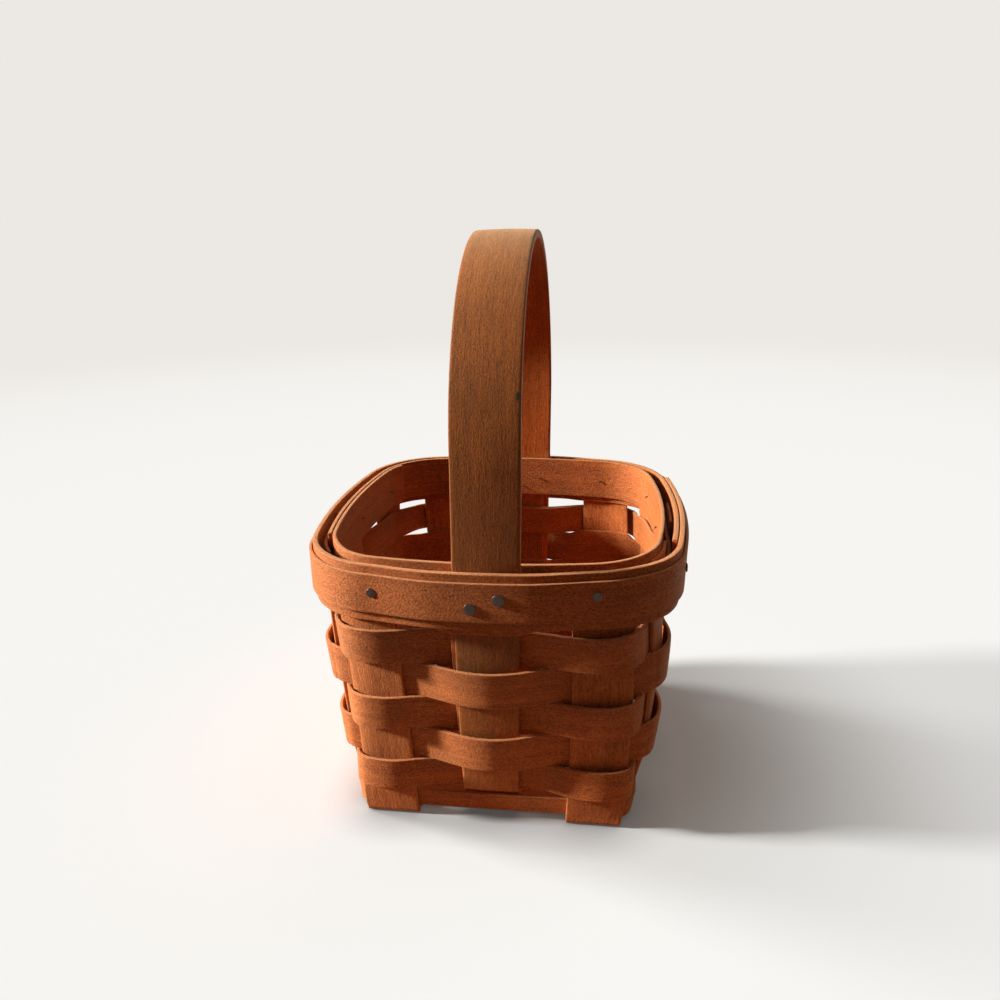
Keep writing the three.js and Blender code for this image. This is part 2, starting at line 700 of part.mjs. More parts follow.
// A piece of the rim with the tack holes through it
function drilled(geometry) {
  const { vertProperties, triVerts } = toSolid(geometry).subtract(tackHoles).getMesh();
  return new THREE.BufferGeometry()
    .setAttribute("position", new THREE.BufferAttribute(vertProperties, 3))
    .setIndex(new THREE.BufferAttribute(triVerts, 1));
}

const basket = new THREE.Group();

function wood(colour) {
  return new THREE.MeshStandardMaterial({ color: colour, roughness: 0.72, metalness: 0 });
}

function bronzedSteel() {
  return new THREE.MeshStandardMaterial({ color: 0x4a3a34, roughness: 0.38, metalness: 0.9 });
}

function addPiece(name, geometry, material) {
  geometry.computeVertexNormals();
  const mesh = new THREE.Mesh(geometry, material);
  mesh.name = name;
  basket.add(mesh);
}

const STAKE_COLOUR = 0x8a4220;
const WEAVER_COLOUR = 0x9a4e26;
const BAND_COLOUR = 0x8e4a24;
const HANDLE_COLOUR = 0x7c4418;

const stakeNames = { "-1": "left", 0: "middle", 1: "right" };
const sideStakeNames = { "-1": "front", 0: "middle", 1: "back" };
for (const index of [-1, 0, 1]) {
  addPiece("stake_front_to_back_" + stakeNames[index], drilled(stake(0, index)), wood(STAKE_COLOUR));
  addPiece("stake_left_to_right_" + sideStakeNames[index], drilled(stake(1, index)), wood(STAKE_COLOUR));
}
rows.forEach((row, i) => {
  const geometry = i === topRow ? drilled(weaver(i)) : weaver(i);
  addPiece("weaver_row_" + (i + 1), geometry, wood(WEAVER_COLOUR));
});
const innerBandMiddle = (place) => innerBandFace(place) - INNER_BAND_THICKNESS / 2;
const outerBandMiddle = (place) => outerBandFace(place) + OUTER_BAND_THICKNESS / 2;
const trimMiddle = (place) => trimFace(place) + TRIM_THICKNESS / 2;
addPiece("rim_inner_band", drilled(bandPiece(innerBand, innerBandMiddle)), wood(BAND_COLOUR));
addPiece("rim_outer_band", drilled(bandPiece(outerBand, outerBandMiddle)), wood(BAND_COLOUR));
addPiece("rim_trim", drilled(bandPiece(trim, trimMiddle)), wood(BAND_COLOUR));
addPiece("handle_hoop", drilled(handle()), wood(HANDLE_COLOUR));
for (const [name, frame] of tackFrames) addPiece("tack_" + name, tack(frame), bronzedSteel());

export default basket;
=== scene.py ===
import math
import random
from collections import namedtuple

import bpy
import numpy as np
from mathutils import Matrix, Vector


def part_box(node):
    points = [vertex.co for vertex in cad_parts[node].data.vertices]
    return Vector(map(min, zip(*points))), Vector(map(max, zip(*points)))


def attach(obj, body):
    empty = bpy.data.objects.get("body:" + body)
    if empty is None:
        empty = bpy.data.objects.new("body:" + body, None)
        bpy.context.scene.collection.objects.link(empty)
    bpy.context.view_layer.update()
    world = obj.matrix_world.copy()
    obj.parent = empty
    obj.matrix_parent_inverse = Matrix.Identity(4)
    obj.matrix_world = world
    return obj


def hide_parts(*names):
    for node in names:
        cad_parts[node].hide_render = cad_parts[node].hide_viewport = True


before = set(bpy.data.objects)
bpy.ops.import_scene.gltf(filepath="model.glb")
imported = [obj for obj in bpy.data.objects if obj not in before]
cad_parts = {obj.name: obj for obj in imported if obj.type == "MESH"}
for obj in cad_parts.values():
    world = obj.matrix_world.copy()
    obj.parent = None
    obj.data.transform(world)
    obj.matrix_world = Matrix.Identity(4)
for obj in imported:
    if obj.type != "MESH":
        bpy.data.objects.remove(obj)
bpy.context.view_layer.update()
scene = bpy.context.scene
MM = 0.001

# Camera, as fitted to the photograph
IMAGE_PIXELS = 1000
SENSOR_WIDTH_MM = 36
FOCAL_PIXELS = 820.3
CAMERA_AZIMUTH = 0.13415
CAMERA_ELEVATION = 0.33271
CAMERA_ROLL = -0.0218
CAMERA_PLACE = (38.22 * MM, -292.87 * MM, 207.4 * MM)
CAMERA_CLIP = (0.01, 20)

# Sides of the basket, anticlockwise from above
FRONT, RIGHT, BACK, LEFT = range(4)
SIDES = 4

# Strips and the gaps between them
CLEARANCE = 0.3 * MM
STAKE_WIDTH = 19.4 * MM
STAKE_THICKNESS = 1.2 * MM
STAKE_PITCH = 36.5 * MM
STAKE_SPLAY = 0.9
BACK_LEFT_SHIFT = 5.5 * MM
WEAVER_THICKNESS = 1.2 * MM
WEAVER_WIDTHS = [width * MM for width in (7.4, 11.7, 13.7, 13.2, 13.7, 13.4, 13.4)]
WEAVER_ARCH = 1.7 * MM
WEAVER_SAG = 0.3 * MM
TOP_ROW_DIP = 3.8 * MM
OUTER_BAND_THICKNESS = 1.8 * MM
INNER_BAND_THICKNESS = 1.4 * MM
TRIM_THICKNESS = 1.1 * MM

# Walls
BEND_RADIUS = 1.6 * MM
BEND_SPACE = 1.5 * MM
WALL_FLARE = 0.143
RIM_FLARE = 0.05
BASE_CORNER_RADIUS = 3 * MM
RIM_CORNER_RADIUS = 28 * MM
RIM_SIDE_RADIUS = 221 * MM
RIGHT_BOW = 2.2 * MM
BOW_FROM = 15 * MM

# The rows don't run level: a place round the walls, and how much higher in millimetres the second
# row, the one below the last full row and the last full row run there
ROW_RISES = [
    (0, 0, 0, 0),
    (0.7, 0, 0, 0),
    (1.1, 3, 3.2, 3.2),
    (2, 2.5, 2.7, 2.8),
    (2.4, 1.5, 2.3, 3),
    (2.8, 0.6, 1.8, 3.2),
    (3.2, 0.6, 1.8, 3.2),
    (3.75, 0, 0, 0),
    (4, 0, 0, 0),
]
FIRST_ROW_SHARE = 0.4

# Handle
HANDLE_THICKNESS = 2.8 * MM
HANDLE_WIDTH = 21.4 * MM
HANDLE_END_WIDTH = 19.8 * MM
HANDLE_SPREAD = 1.1 * MM
HANDLE_SIDE_OFFSET = 3.2 * MM
HANDLE_END_OFFSETS = {FRONT: 0.1 * MM, BACK: 1.2 * MM}
HANDLE_CROWN = 0.3 * MM
SHOULDER_HEIGHT = 1.2 * MM
LEG_RISE = 1 * MM

# Laps: where a band's near and far ends are across a side, as shares of its half
OUTER_BAND_LAP = (RIGHT, -0.71, 0.78)
INNER_BAND_LAP = (LEFT, -1.07, 0.82)
TRIM_LAP = (BACK, -0.43, 0.43)

# Studio, with linear colours. Each far light has its azimuth from the left towards the front, its
# elevation and its spread in degrees, its level and its colour. Two of them come low from the left
LIGHTS = {
    "key": (5.5, 20, 6, 2.45, (1, 0.97, 0.9)),
    "side": (-14, 20, 14, 0.95, (1, 0.97, 0.9)),
    "back": (215, 50, 60, 0.13, (1, 0.82, 0.64)),
}
FILL_LEVEL = 0.11
FILL_COLOUR = (1, 0.78, 0.62)
BACKDROP_COLOUR = (0.839, 0.807, 0.768)

# Floor: its paint as it is seen and as it lights the basket, its half size, where it starts and ends
# to fade into the backdrop, and the reach and colour of the painted shadow close to the basket
FLOOR_COLOUR = (0.69, 0.725, 0.765)
FLOOR_BOUNCE = (0.35, 0.155, 0.055)
FLOOR_SIZE = 6
FLOOR_FADE = (0.35, 1.3)
FLOOR_PAINTED_SHADOW_REACH = 18 * MM
FLOOR_PAINTED_SHADOW_COLOUR = (0.08, 0.08, 0.085)

# Painted light on the floor, which lifts the basket's shadow more the further out it is: how much of the
# floor's brightness is its own, from and to which distance it grows, and its values there
FLOOR_PAINTED_LIGHT = (0.07, 0.2, 0.07, 0.65)
FLOOR_PAINTED_LIGHT_COLOUR = (0.91, 0.9, 0.88)

# How finely the strips are drawn
STEP = 1.2 * MM
ACROSS = (-1, -0.5, 0, 0.5, 1)
BEND_STEPS = 8
CHANGE_STEPS = 14
CORNER_STEPS = 12
SPREAD_STEPS = 24
ARCH_STEPS = 170
STRIP_EDGE = 0.25 * MM
HANDLE_EDGE = 0.45 * MM


def heights(node):
    low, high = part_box(node)
    return low[2], high[2]


TOP_ROW = len(WEAVER_WIDTHS) - 1
LAST_FULL_ROW = TOP_ROW - 1
rows = []
for row, width in enumerate(WEAVER_WIDTHS):
    low = heights(f"weaver_row_{row + 1}")[0] + (TOP_ROW_DIP if row == TOP_ROW else 0)
    rows.append((low, low + width))
outer_band_heights = heights("rim_outer_band")
inner_band_heights = heights("rim_inner_band")
trim_heights = heights("rim_trim")
stake_top = heights("stake_front_to_back_middle")[1]
handle_end, handle_top = heights("handle_hoop")

stake_edge = STAKE_PITCH + STAKE_WIDTH / 2
lean = math.atan(WALL_FLARE)
low_level = STAKE_THICKNESS / 2
high_level = low_level + STAKE_THICKNESS + CLEARANCE
layer_step = (STAKE_THICKNESS + WEAVER_THICKNESS) / 2 + CLEARANCE
rim_shift = layer_step / 2
rim_half_stack = rim_shift + WEAVER_THICKNESS / 2 + CLEARANCE
handle_face = STAKE_THICKNESS / 2 + CLEARANCE
tail_thickness = HANDLE_THICKNESS - WEAVER_THICKNESS - CLEARANCE
leg_free = outer_band_heights[1] + LEG_RISE
leg_half_reach = HANDLE_SIDE_OFFSET + HANDLE_WIDTH / 2
handle_bump = handle_face + HANDLE_THICKNESS + CLEARANCE - rim_shift - rim_half_stack


def lerp(start, end, share):
    return start + (end - start) * share


def clamp(value, low=0.0, high=1.0):
    return min(max(value, low), high)


def smooth(value, low=0.0, high=1.0):
    share = clamp((value - low) / (high - low))
    return share * share * (3 - 2 * share)


def bend_top(level):
    return level + BEND_RADIUS * (1 - math.sin(lean))


base_half = stake_edge + BEND_SPACE + BEND_RADIUS * math.cos(lean) - WALL_FLARE * bend_top(low_level)

# A wave's full turn, as its phases are drawn and its heights are found
WAVE_TURN = 6.28


def wander(seed, period):
    """A slow smooth wave between -1 and 1, the same on every run."""
    draw = random.Random(seed)
    waves = []
    for _ in range(5):
        waves.append((draw.uniform(0.6, 1.8) / period, draw.uniform(0, WAVE_TURN), draw.uniform(0.4, 1)))
    total = sum(wave[2] for wave in waves)

    def height(distance):
        return sum(h * math.sin(WAVE_TURN * f * distance + p) for f, p, h in waves) / total

    return height


# A place round the walls: its whole part is the side, and its fraction runs across the side's
# stakes and then round the corner
SIDE_SHARE = 0.8


def at_share(side, share):
    return side + SIDE_SHARE / 2 * (share + 1)


def at(side, x):
    return at_share(side, x / stake_edge)


def across_side(place):
    return (2 * (place - math.floor(place)) / SIDE_SHARE - 1) * stake_edge


def plan(z):
    """The wall's outline at a height: arcs along the sides, and tighter arcs round the corners."""
    rise = clamp(z / inner_band_heights[1])
    full = rows[LAST_FULL_ROW][1]
    half = base_half + WALL_FLARE * min(z, full) + RIM_FLARE * max(0, z - full)
    corner = lerp(BASE_CORNER_RADIUS, RIM_CORNER_RADIUS, rise**0.9)
    side = RIM_SIDE_RADIUS / max(rise, 0.01)
    side_centre = half - side
    reach = side - corner
    corner_centre = (side_centre + math.sqrt(2 * reach * reach - side_centre * side_centre)) / 2
    tangent = side * math.sin(math.atan2(corner_centre, corner_centre - side_centre))
    return corner, side, side_centre, corner_centre, tangent


def corner_start(z):
    corner, _, _, corner_centre, _ = plan(z)
    return math.asin(clamp((stake_edge - corner_centre) / corner, 0, 0.7))


def turned(side, along, out, z):
    """From a side's own axes, along it and out of it, to the basket's."""
    x, y = ((along, -out), (out, along), (-along, out), (-out, -along))[side % SIDES]
    return (x, y, z)


def wall_point(place, z, offset=0.0):
    corner, side_radius, side_centre, corner_centre, tangent = plan(z)
    side = math.floor(place)
    share = place - side
    if share > SIDE_SHARE:
        start = corner_start(z)
        angle = lerp(start, math.pi / 2 - start, (share - SIDE_SHARE) / (1 - SIDE_SHARE))
        normal = (math.sin(angle), math.cos(angle))
        along = corner_centre + corner * normal[0]
        out = corner_centre + corner * normal[1]
    else:
        along = across_side(place)
        bowed = abs(along) <= tangent
        radius = side_radius if bowed else corner
        centre = 0 if bowed else corner_centre
        sine = math.copysign(abs(along) - centre, along) / radius
        normal = (sine, math.sqrt(1 - sine * sine))
        out = (side_centre if bowed else corner_centre) + radius * normal[1]
    x, y, z = turned(side, along + offset * normal[0], out + offset * normal[1], z)
    return (x + right_bow(x, z), y, z)


def right_bow(x, z):
    """How far the right wall bows out at a point."""
    rise = clamp((z - rows[0][0]) / (outer_band_heights[0] - rows[0][0]))
    return RIGHT_BOW * 4 * rise * (1 - rise) * smooth(x, BOW_FROM, stake_edge)


# Node helpers


def feed(tree, made, inputs):
    """Sets a node's inputs to values, or links them to other nodes' outputs."""
    for key, value in inputs.items():
        if isinstance(value, bpy.types.NodeSocket):
            tree.links.new(value, made.inputs[key])
        else:
            made.inputs[key].default_value = value


def node(tree, kind, inputs=None, **settings):
    made = tree.nodes.new(kind)
    for name, value in settings.items():
        setattr(made, name, value)
    feed(tree, made, inputs or {})
    return made


def maths(tree, operation, *values, clamped=False):
    inputs = dict(enumerate(values))
    return node(tree, "ShaderNodeMath", inputs, operation=operation, use_clamp=clamped).outputs[0]


def vector_maths(tree, operation, *values, result="Vector"):
    made = node(tree, "ShaderNodeVectorMath", dict(enumerate(values)), operation=operation)
    return made.outputs[result]


def scaled(tree, vector, scale):
    made = node(tree, "ShaderNodeVectorMath", {0: vector, "Scale": scale}, operation="SCALE")
    return made.outputs["Vector"]


def combined(tree, x=0.0, y=0.0, z=0.0):
    return node(tree, "ShaderNodeCombineXYZ", {"X": x, "Y": y, "Z": z}).outputs["Vector"]


def separated(tree, vector):
    made = node(tree, "ShaderNodeSeparateXYZ", {"Vector": vector})
    return made.outputs["X"], made.outputs["Y"], made.outputs["Z"]


def new_tree(name, kind, inputs, outputs):
    """A node group with named inputs and outputs; sockets are (name, socket type, default)."""
    tree = bpy.data.node_groups.new(name, kind)
    for label, socket_type, *default in inputs:
        socket = tree.interface.new_socket(name=label, in_out="INPUT", socket_type=socket_type)
        if default:
            socket.default_value = default[0]
    for label, socket_type in outputs:
        tree.interface.new_socket(name=label, in_out="OUTPUT", socket_type=socket_type)
    return tree, tree.nodes.new("NodeGroupInput").outputs, tree.nodes.new("NodeGroupOutput")


def finish_tree(tree, geometry, given, result):
    """Every tree ends alike: shaded smooth, made one real mesh, and given its material."""
    for kind in ("GeometryNodeSetShadeSmooth", "GeometryNodeRealizeInstances"):
        geometry = node(tree, kind, {"Geometry": geometry}).outputs[0]
    inputs = {"Geometry": geometry, "Material": given["Finish"]}
    feed(tree, result, {0: node(tree, "GeometryNodeSetMaterial", inputs).outputs[0]})
    return tree


# Strips


def section_outline(corner_steps=3, supports=(0.93, 0.8, 0.55, 0.25)):
    """The rounded rectangle that every strip has across it, as one small closed line.

    Each point keeps which corner it belongs to and its direction on that corner's round, so the
    strip tree can give it any width, thickness and edge radius."""
    signs = ((1, 1), (-1, 1), (-1, -1), (1, -1))
    corners, rounds = [], []
    for quarter, (a, b) in enumerate(signs):
        for step in range(corner_steps + 1):
            angle = (quarter + step / corner_steps) * math.pi / 2
            corners.append((a, b, 0))
            rounds.append((math.cos(angle), math.sin(angle), 0))
        if quarter % 2 == 0:
            for share in (*supports, 0, *(-share for share in reversed(supports))):
                corners.append((a * share, b, 0))
                rounds.append((0, b, 0))
    count = len(corners)
    mesh = bpy.data.meshes.new("strip_section")
    mesh.from_pydata(corners, [(i, (i + 1) % count) for i in range(count)], [])
    add_attribute(mesh, "corner", corners)
    add_attribute(mesh, "round", rounds)
    return bpy.data.objects.new("strip_section", mesh)


def add_attribute(mesh, name, values):
    data = np.asarray(values, dtype=np.float32)
    is_vector = data.ndim == 2
    attribute = mesh.attributes.new(name, "FLOAT_VECTOR" if is_vector else "FLOAT", "POINT")
    attribute.data.foreach_set("vector" if is_vector else "value", data.ravel())


def named(tree, name, data_type="FLOAT"):
    made = node(tree, "GeometryNodeInputNamedAttribute", {"Name": name}, data_type=data_type)
    return made.outputs["Attribute"]


def bent_strip_tree():
    """Sweeps the section along a path, with the width, bow and direction that the path carries."""
    tree, given, result = new_tree(
        "bent_strip",
        "GeometryNodeTree",
        [
            ("Path", "NodeSocketGeometry"),
            ("Section", "NodeSocketObject"),
            ("Thickness", "NodeSocketFloat", 1.2 * MM),
            ("Edge Radius", "NodeSocketFloat", STRIP_EDGE),
            ("Grain Start", "NodeSocketVector"),
            ("Finish", "NodeSocketMaterial"),
        ],
        [("Strip", "NodeSocketGeometry")],
    )

    def vector(name):
        return named(tree, name, "FLOAT_VECTOR")

    path = node(tree, "GeometryNodeMeshToCurve", {"Mesh": given["Path"]}).outputs[0]
    section = node(tree, "GeometryNodeObjectInfo", {"Object": given["Section"]}).outputs["Geometry"]
    section = node(tree, "GeometryNodeMeshToCurve", {"Mesh": section}).outputs[0]
    sweep = {"Curve": path, "Profile Curve": section, "Fill Caps": True}
    swept = node(tree, "GeometryNodeCurveToMesh", sweep).outputs[0]

    half_width = named(tree, "half_width")
    half_share = maths(tree, "MULTIPLY", named(tree, "thick"), 0.5)
    half_thickness = maths(tree, "MULTIPLY", given["Thickness"], half_share)
    margin = maths(tree, "ADD", given["Edge Radius"], named(tree, "inset"))
    flat = [maths(tree, "SUBTRACT", half, margin) for half in (half_width, half_thickness)]
    spread = vector_maths(tree, "MULTIPLY", vector("corner"), combined(tree, *flat))
    rounding = scaled(tree, vector("round"), given["Edge Radius"])
    a, b, _ = separated(tree, vector_maths(tree, "ADD", spread, rounding))

    share = maths(tree, "DIVIDE", a, half_width)
    squared = maths(tree, "MULTIPLY", share, share)
    even, slanted, peaked = separated(tree, vector("bow"))
    wave = maths(tree, "ADD", even, maths(tree, "MULTIPLY", slanted, share))
    wave = maths(tree, "ADD", wave, maths(tree, "MULTIPLY", peaked, squared))
    bow = maths(tree, "MULTIPLY", wave, maths(tree, "SUBTRACT", 1.0, squared))

    place = vector_maths(tree, "ADD", vector("centre"), scaled(tree, vector("across"), a))
    lift = scaled(tree, vector("out"), maths(tree, "ADD", b, bow))
    place = vector_maths(tree, "ADD", place, lift)
    shaped = node(tree, "GeometryNodeSetPosition", {"Geometry": swept, "Position": place}).outputs[0]

    grain = vector_maths(tree, "ADD", combined(tree, named(tree, "along"), a, b), given["Grain Start"])
    edge_distance = maths(tree, "SUBTRACT", half_width, maths(tree, "ABSOLUTE", a))
    for name, data_type, value in (
        ("grain_place", "FLOAT_VECTOR", grain),
        ("edge_distance", "FLOAT", edge_distance),
        ("face_side", "FLOAT", b),
    ):
        inputs = {"Geometry": shaped, "Name": name, "Value": value}
        shaped = node(tree, "GeometryNodeStoreNamedAttribute", inputs, data_type=data_type).outputs[0]
    return finish_tree(tree, shaped, given, result)


def run_tree(tree, source, name, values):
    """The mesh that a tree makes of a source mesh, as a new plain object at the origin."""
    carrier = bpy.data.objects.new(name + "_source", source)
    scene.collection.objects.link(carrier)
    modifier = carrier.modifiers.new("make", "NODES")
    modifier.node_group = tree
    for item in tree.interface.items_tree:
        if item.in_out == "INPUT" and item.name in values:
            modifier[item.identifier] = values[item.name]
    carrier.update_tag()
    evaluated = carrier.evaluated_get(bpy.context.evaluated_depsgraph_get())
    mesh = bpy.data.meshes.new_from_object(evaluated)
    bpy.data.objects.remove(carrier)
    mesh.name = name
    made = bpy.data.objects.new(name, mesh)
    scene.collection.objects.link(made)
    return made


def path_mesh(stations, thick, inset):
    """The path of a strip: stations are rows of five points from one edge to the other."""
    points = np.array(stations, dtype=float)
    first, last = points[:, 0], points[:, -1]
    centre = (first + last) / 2
    chord = last - first
    width = np.linalg.norm(chord, axis=1)
    across = chord / width[:, None]
    tangent = np.gradient(points[:, 2], axis=0)
    out = np.cross(tangent, across)
    out /= np.linalg.norm(out, axis=1)[:, None]
    shares = np.array(ACROSS[1:-1])
    lifts = []
    for share, column in zip(shares, (1, 2, 3)):
        on_chord = centre + across * (share * width / 2)[:, None]
        lifts.append(np.sum((points[:, column] - on_chord) * out, axis=1) / (1 - share * share))
    even = lifts[1]
    slanted = (lifts[2] - lifts[0]) / (shares[2] - shares[0])
    peaked = ((lifts[2] + lifts[0]) / 2 - even) / shares[2] ** 2
    steps = np.linalg.norm(np.diff(points[:, 2], axis=0), axis=1)
    along = np.concatenate([[0], np.cumsum(steps)])
    mesh = bpy.data.meshes.new("strip_path")
    count = len(points)
    mesh.from_pydata(centre.tolist(), [(i, i + 1) for i in range(count - 1)], [])
    bow = np.stack([even, slanted, peaked], axis=1)
    values = {"centre": centre, "across": across, "out": out, "half_width": width / 2, "bow": bow}
    values |= {"along": along, "thick": thick, "inset": inset}
    for name, value in values.items():
        add_attribute(mesh, name, value)
    return mesh


def is_inside_out(mesh):
    mesh.calc_loop_triangles()
    count = len(mesh.loop_triangles)
    corners = np.empty(count * 3, dtype=np.int32)
    mesh.loop_triangles.foreach_get("vertices", corners)
    places = np.empty(len(mesh.vertices) * 3, dtype=np.float32)
    mesh.vertices.foreach_get("co", places)
    first, second, third = places.reshape(-1, 3)[corners.reshape(-1, 3)].astype(float).swapaxes(0, 1)
    return np.sum(first * np.cross(second, third)) < 0


# Cut ends are eased over a few last stations: the distance from the end, and how far in the outline
# moves there
END_EASE = ((0, 0.22 * MM), (0.08 * MM, 0.08 * MM), (0.22 * MM, 0))


def with_eased_ends(stations, thick):
    """Adds the close stations at both ends that round a strip's cut ends."""
    rows_in = [np.array(row, dtype=float) for row in stations]
    thick_in = list(thick)
    for _ in range(2):
        end, neighbour = rows_in[0], rows_in[1]
        length = np.linalg.norm(neighbour[2] - end[2])
        extra = [end + (neighbour - end) * (distance / length) for distance, _ in END_EASE]
        rows_in = extra + rows_in[1:]
        thick_in = [thick_in[0]] * len(extra) + thick_in[1:]
        rows_in.reverse()
        thick_in.reverse()
    inset = [0.0] * len(rows_in)
    for i, (_, depth) in enumerate(END_EASE):
        inset[i] = depth
        inset[-1 - i] = depth
    return rows_in, thick_in, inset


def strip(name, stations, thickness, slot, replaced, edge=STRIP_EDGE, thick=None):
    """A finished strip of one of the woods, which stands for CAD nodes."""
    rows_in, thick_in, inset = with_eased_ends(stations, thick or [1.0] * len(stations))
    draw = random.Random(name)
    values = {
        "Section": section_object,
        "Thickness": thickness,
        "Edge Radius": edge,
        "Grain Start": (draw.uniform(0, 5), draw.uniform(0, 1), draw.uniform(0, 1)),
        "Finish": woods[slot],
    }
    made = run_tree(strip_tree, path_mesh(rows_in, thick_in, inset), name, values)
    if is_inside_out(made.data):
        made.data.flip_normals()
    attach(made, "root")
    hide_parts(*replaced)


# Weavers


def passes_outside(row, side, index):
    """Whether a row passes outside a stake; index -1, 0 or 1 counts the stakes across a side."""
    return (abs(index) + row + side) % 2 == 0


def stake_shift(side, index, z):
    """The first row and the top row run straight, so there the stakes go in and out."""
    start = rows[LAST_FULL_ROW][0]
    fall = clamp((rows[1][1] - z) / (rows[1][1] - rows[0][1]))
    rise = clamp((z - start) / (rows[TOP_ROW][0] - start))
    low = layer_step * fall * (-1 if passes_outside(0, side, index) else 1)
    return low + rim_shift * rise * (-1 if passes_outside(TOP_ROW, side, index) else 1)


def stake_middle(side, index):
    shifted = side % SIDES == BACK and index == 1
    return index * STAKE_PITCH - (BACK_LEFT_SHIFT if shifted else 0)


def splay(z):
    return 1 + STAKE_SPLAY * min(z, rows[LAST_FULL_ROW][1])


def arch_inner_radius():
    face = stake_shift(FRONT, 0, leg_free) + handle_face
    return -wall_point(at(FRONT, 0), leg_free, face)[1] + HANDLE_SPREAD


arch_radius = arch_inner_radius()
arch_centre = handle_top - arch_radius - HANDLE_THICKNESS


def leg_plan(side, z):
    rise = clamp((z - handle_end) / (arch_centre - handle_end))
    middle = lerp(HANDLE_END_OFFSETS[side % SIDES], HANDLE_SIDE_OFFSET, rise)
    width = lerp(HANDLE_END_WIDTH, HANDLE_WIDTH, clamp((z - handle_end) / (leg_free - handle_end)))
    return middle, width


# Where a row passes a stake: the side and the stake, from and to, the row's own offset, and how far it
# arches
Crossing = namedtuple("Crossing", "side index start end own arch")


def crossing(row, side, index, layer=0):
    outside = passes_outside(row, side, index)
    over_leg = outside and index == 0 and side % 2 == 0 and rows[row][1] > handle_end
    spread = splay(sum(rows[row]) / 2)
    start = (stake_middle(side, index) - STAKE_WIDTH / 2) * spread
    end = start + STAKE_WIDTH * spread
    if over_leg:
        middle, width = leg_plan(side, rows[row][1])
        leg_start = (-middle if side % SIDES else middle) - width / 2 - CLEARANCE
        start = min(start, leg_start)
        end = max(end, leg_start + width + 2 * CLEARANCE)
    own = layer_step if outside else -layer_step
    if over_leg:
        own += tail_thickness + CLEARANCE
    own += layer * (WEAVER_THICKNESS + CLEARANCE)
    arch = WEAVER_ARCH if outside else -WEAVER_SAG
    if row in (0, TOP_ROW):
        arch = 0
    return Crossing(side, index, start, end, own, arch)


def row_change(row, place):
    """The top row dips where it crosses the handle's front leg, and the others rise to the back."""
    if row < TOP_ROW:
        return row_rise(row, place % SIDES)
    if math.floor(place) % SIDES != FRONT or place % 1 > SIDE_SHARE:
        return 0
    half = STAKE_WIDTH / 2
    return -TOP_ROW_DIP * (1 - smooth(abs(across_side(place)), half, STAKE_PITCH - half))


def row_rise(row, place):
    following = next(i for i, line in enumerate(ROW_RISES) if line[0] > place)
    before, after = ROW_RISES[following - 1], ROW_RISES[following]
    share = smooth(place, before[0], after[0])
    second, next_to_last, last = (lerp(a, b, share) * MM for a, b in zip(before[1:], after[1:]))
    if row == 0:
        return FIRST_ROW_SHARE * second
    if row == LAST_FULL_ROW:
        return last
    return lerp(second, next_to_last, (row - 1) / (LAST_FULL_ROW - 2))


def crossing_offset(one, share, z):
    return stake_shift(one.side, one.index, z) + one.own + one.arch * (1 - (2 * share - 1) ** 2)


def between_offset(one, following, share, z):
    """The offset on the way from one crossing to the next: a smooth curve with both ends' slopes."""
    length = following.start - one.end
    if one.side != following.side:
        length += plan(z)[0] * (math.pi / 2 - 2 * corner_start(z)) + 2 * stake_edge
    start_slope = -4 * one.arch * length / (one.end - one.start)
    end_slope = 4 * following.arch * length / (following.end - following.start)
    s2 = share * share
    s3 = s2 * share
    return (
        (2 * s3 - 3 * s2 + 1) * crossing_offset(one, 1, z)
        + (s3 - 2 * s2 + share) * start_slope
        + (3 * s2 - 2 * s3) * crossing_offset(following, 0, z)
        + (s3 - s2) * end_slope
    )


WEAVER_WAVE = 0.12 * MM
WEAVER_WAVE_LENGTH = 90 * MM
WEAVER_SEED = 100

# Where a row passes inside a stake of the front, its lower edge is tucked down behind the row below,
# and at the back its upper edge stands up before the row above. Along the back, the last full row's
# splint is narrower at its upper edge. Each change goes with the place round the walls where it is
# strongest, how far from there it stays full, and how far away it ends
FRONT_TUCK = 1.5 * MM
FRONT_TUCKED = (0.4, 0.55, 0.9)
BACK_TUCK = 2 * MM
BACK_TUCKED = (2.2, 0.45, 0.6)
BACK_TRIM = 1.9 * MM
BACK_TRIMMED = (2.4, 0.4, 0.7)
TUCK_FROM = 0.4 * MM

# The rows are pushed down on each other, so little of the gap between them is left open
ROW_CLOSING = 0.2 * MM


def nearness(place, middle, full, none):
    """One near a place round the walls, and nothing far from it."""
    away = abs((place - middle + SIDES / 2) % SIDES - SIDES / 2)
    return 1 - smooth(away, full, none)


def line_across(place, low, high, offset_at):
    """The five points across a strip on the wall, from its lower edge to its upper one."""
    levels = [lerp(low, high, (share + 1) / 2) for share in ACROSS]
    return [wall_point(place, z, offset_at(z)) for z in levels]


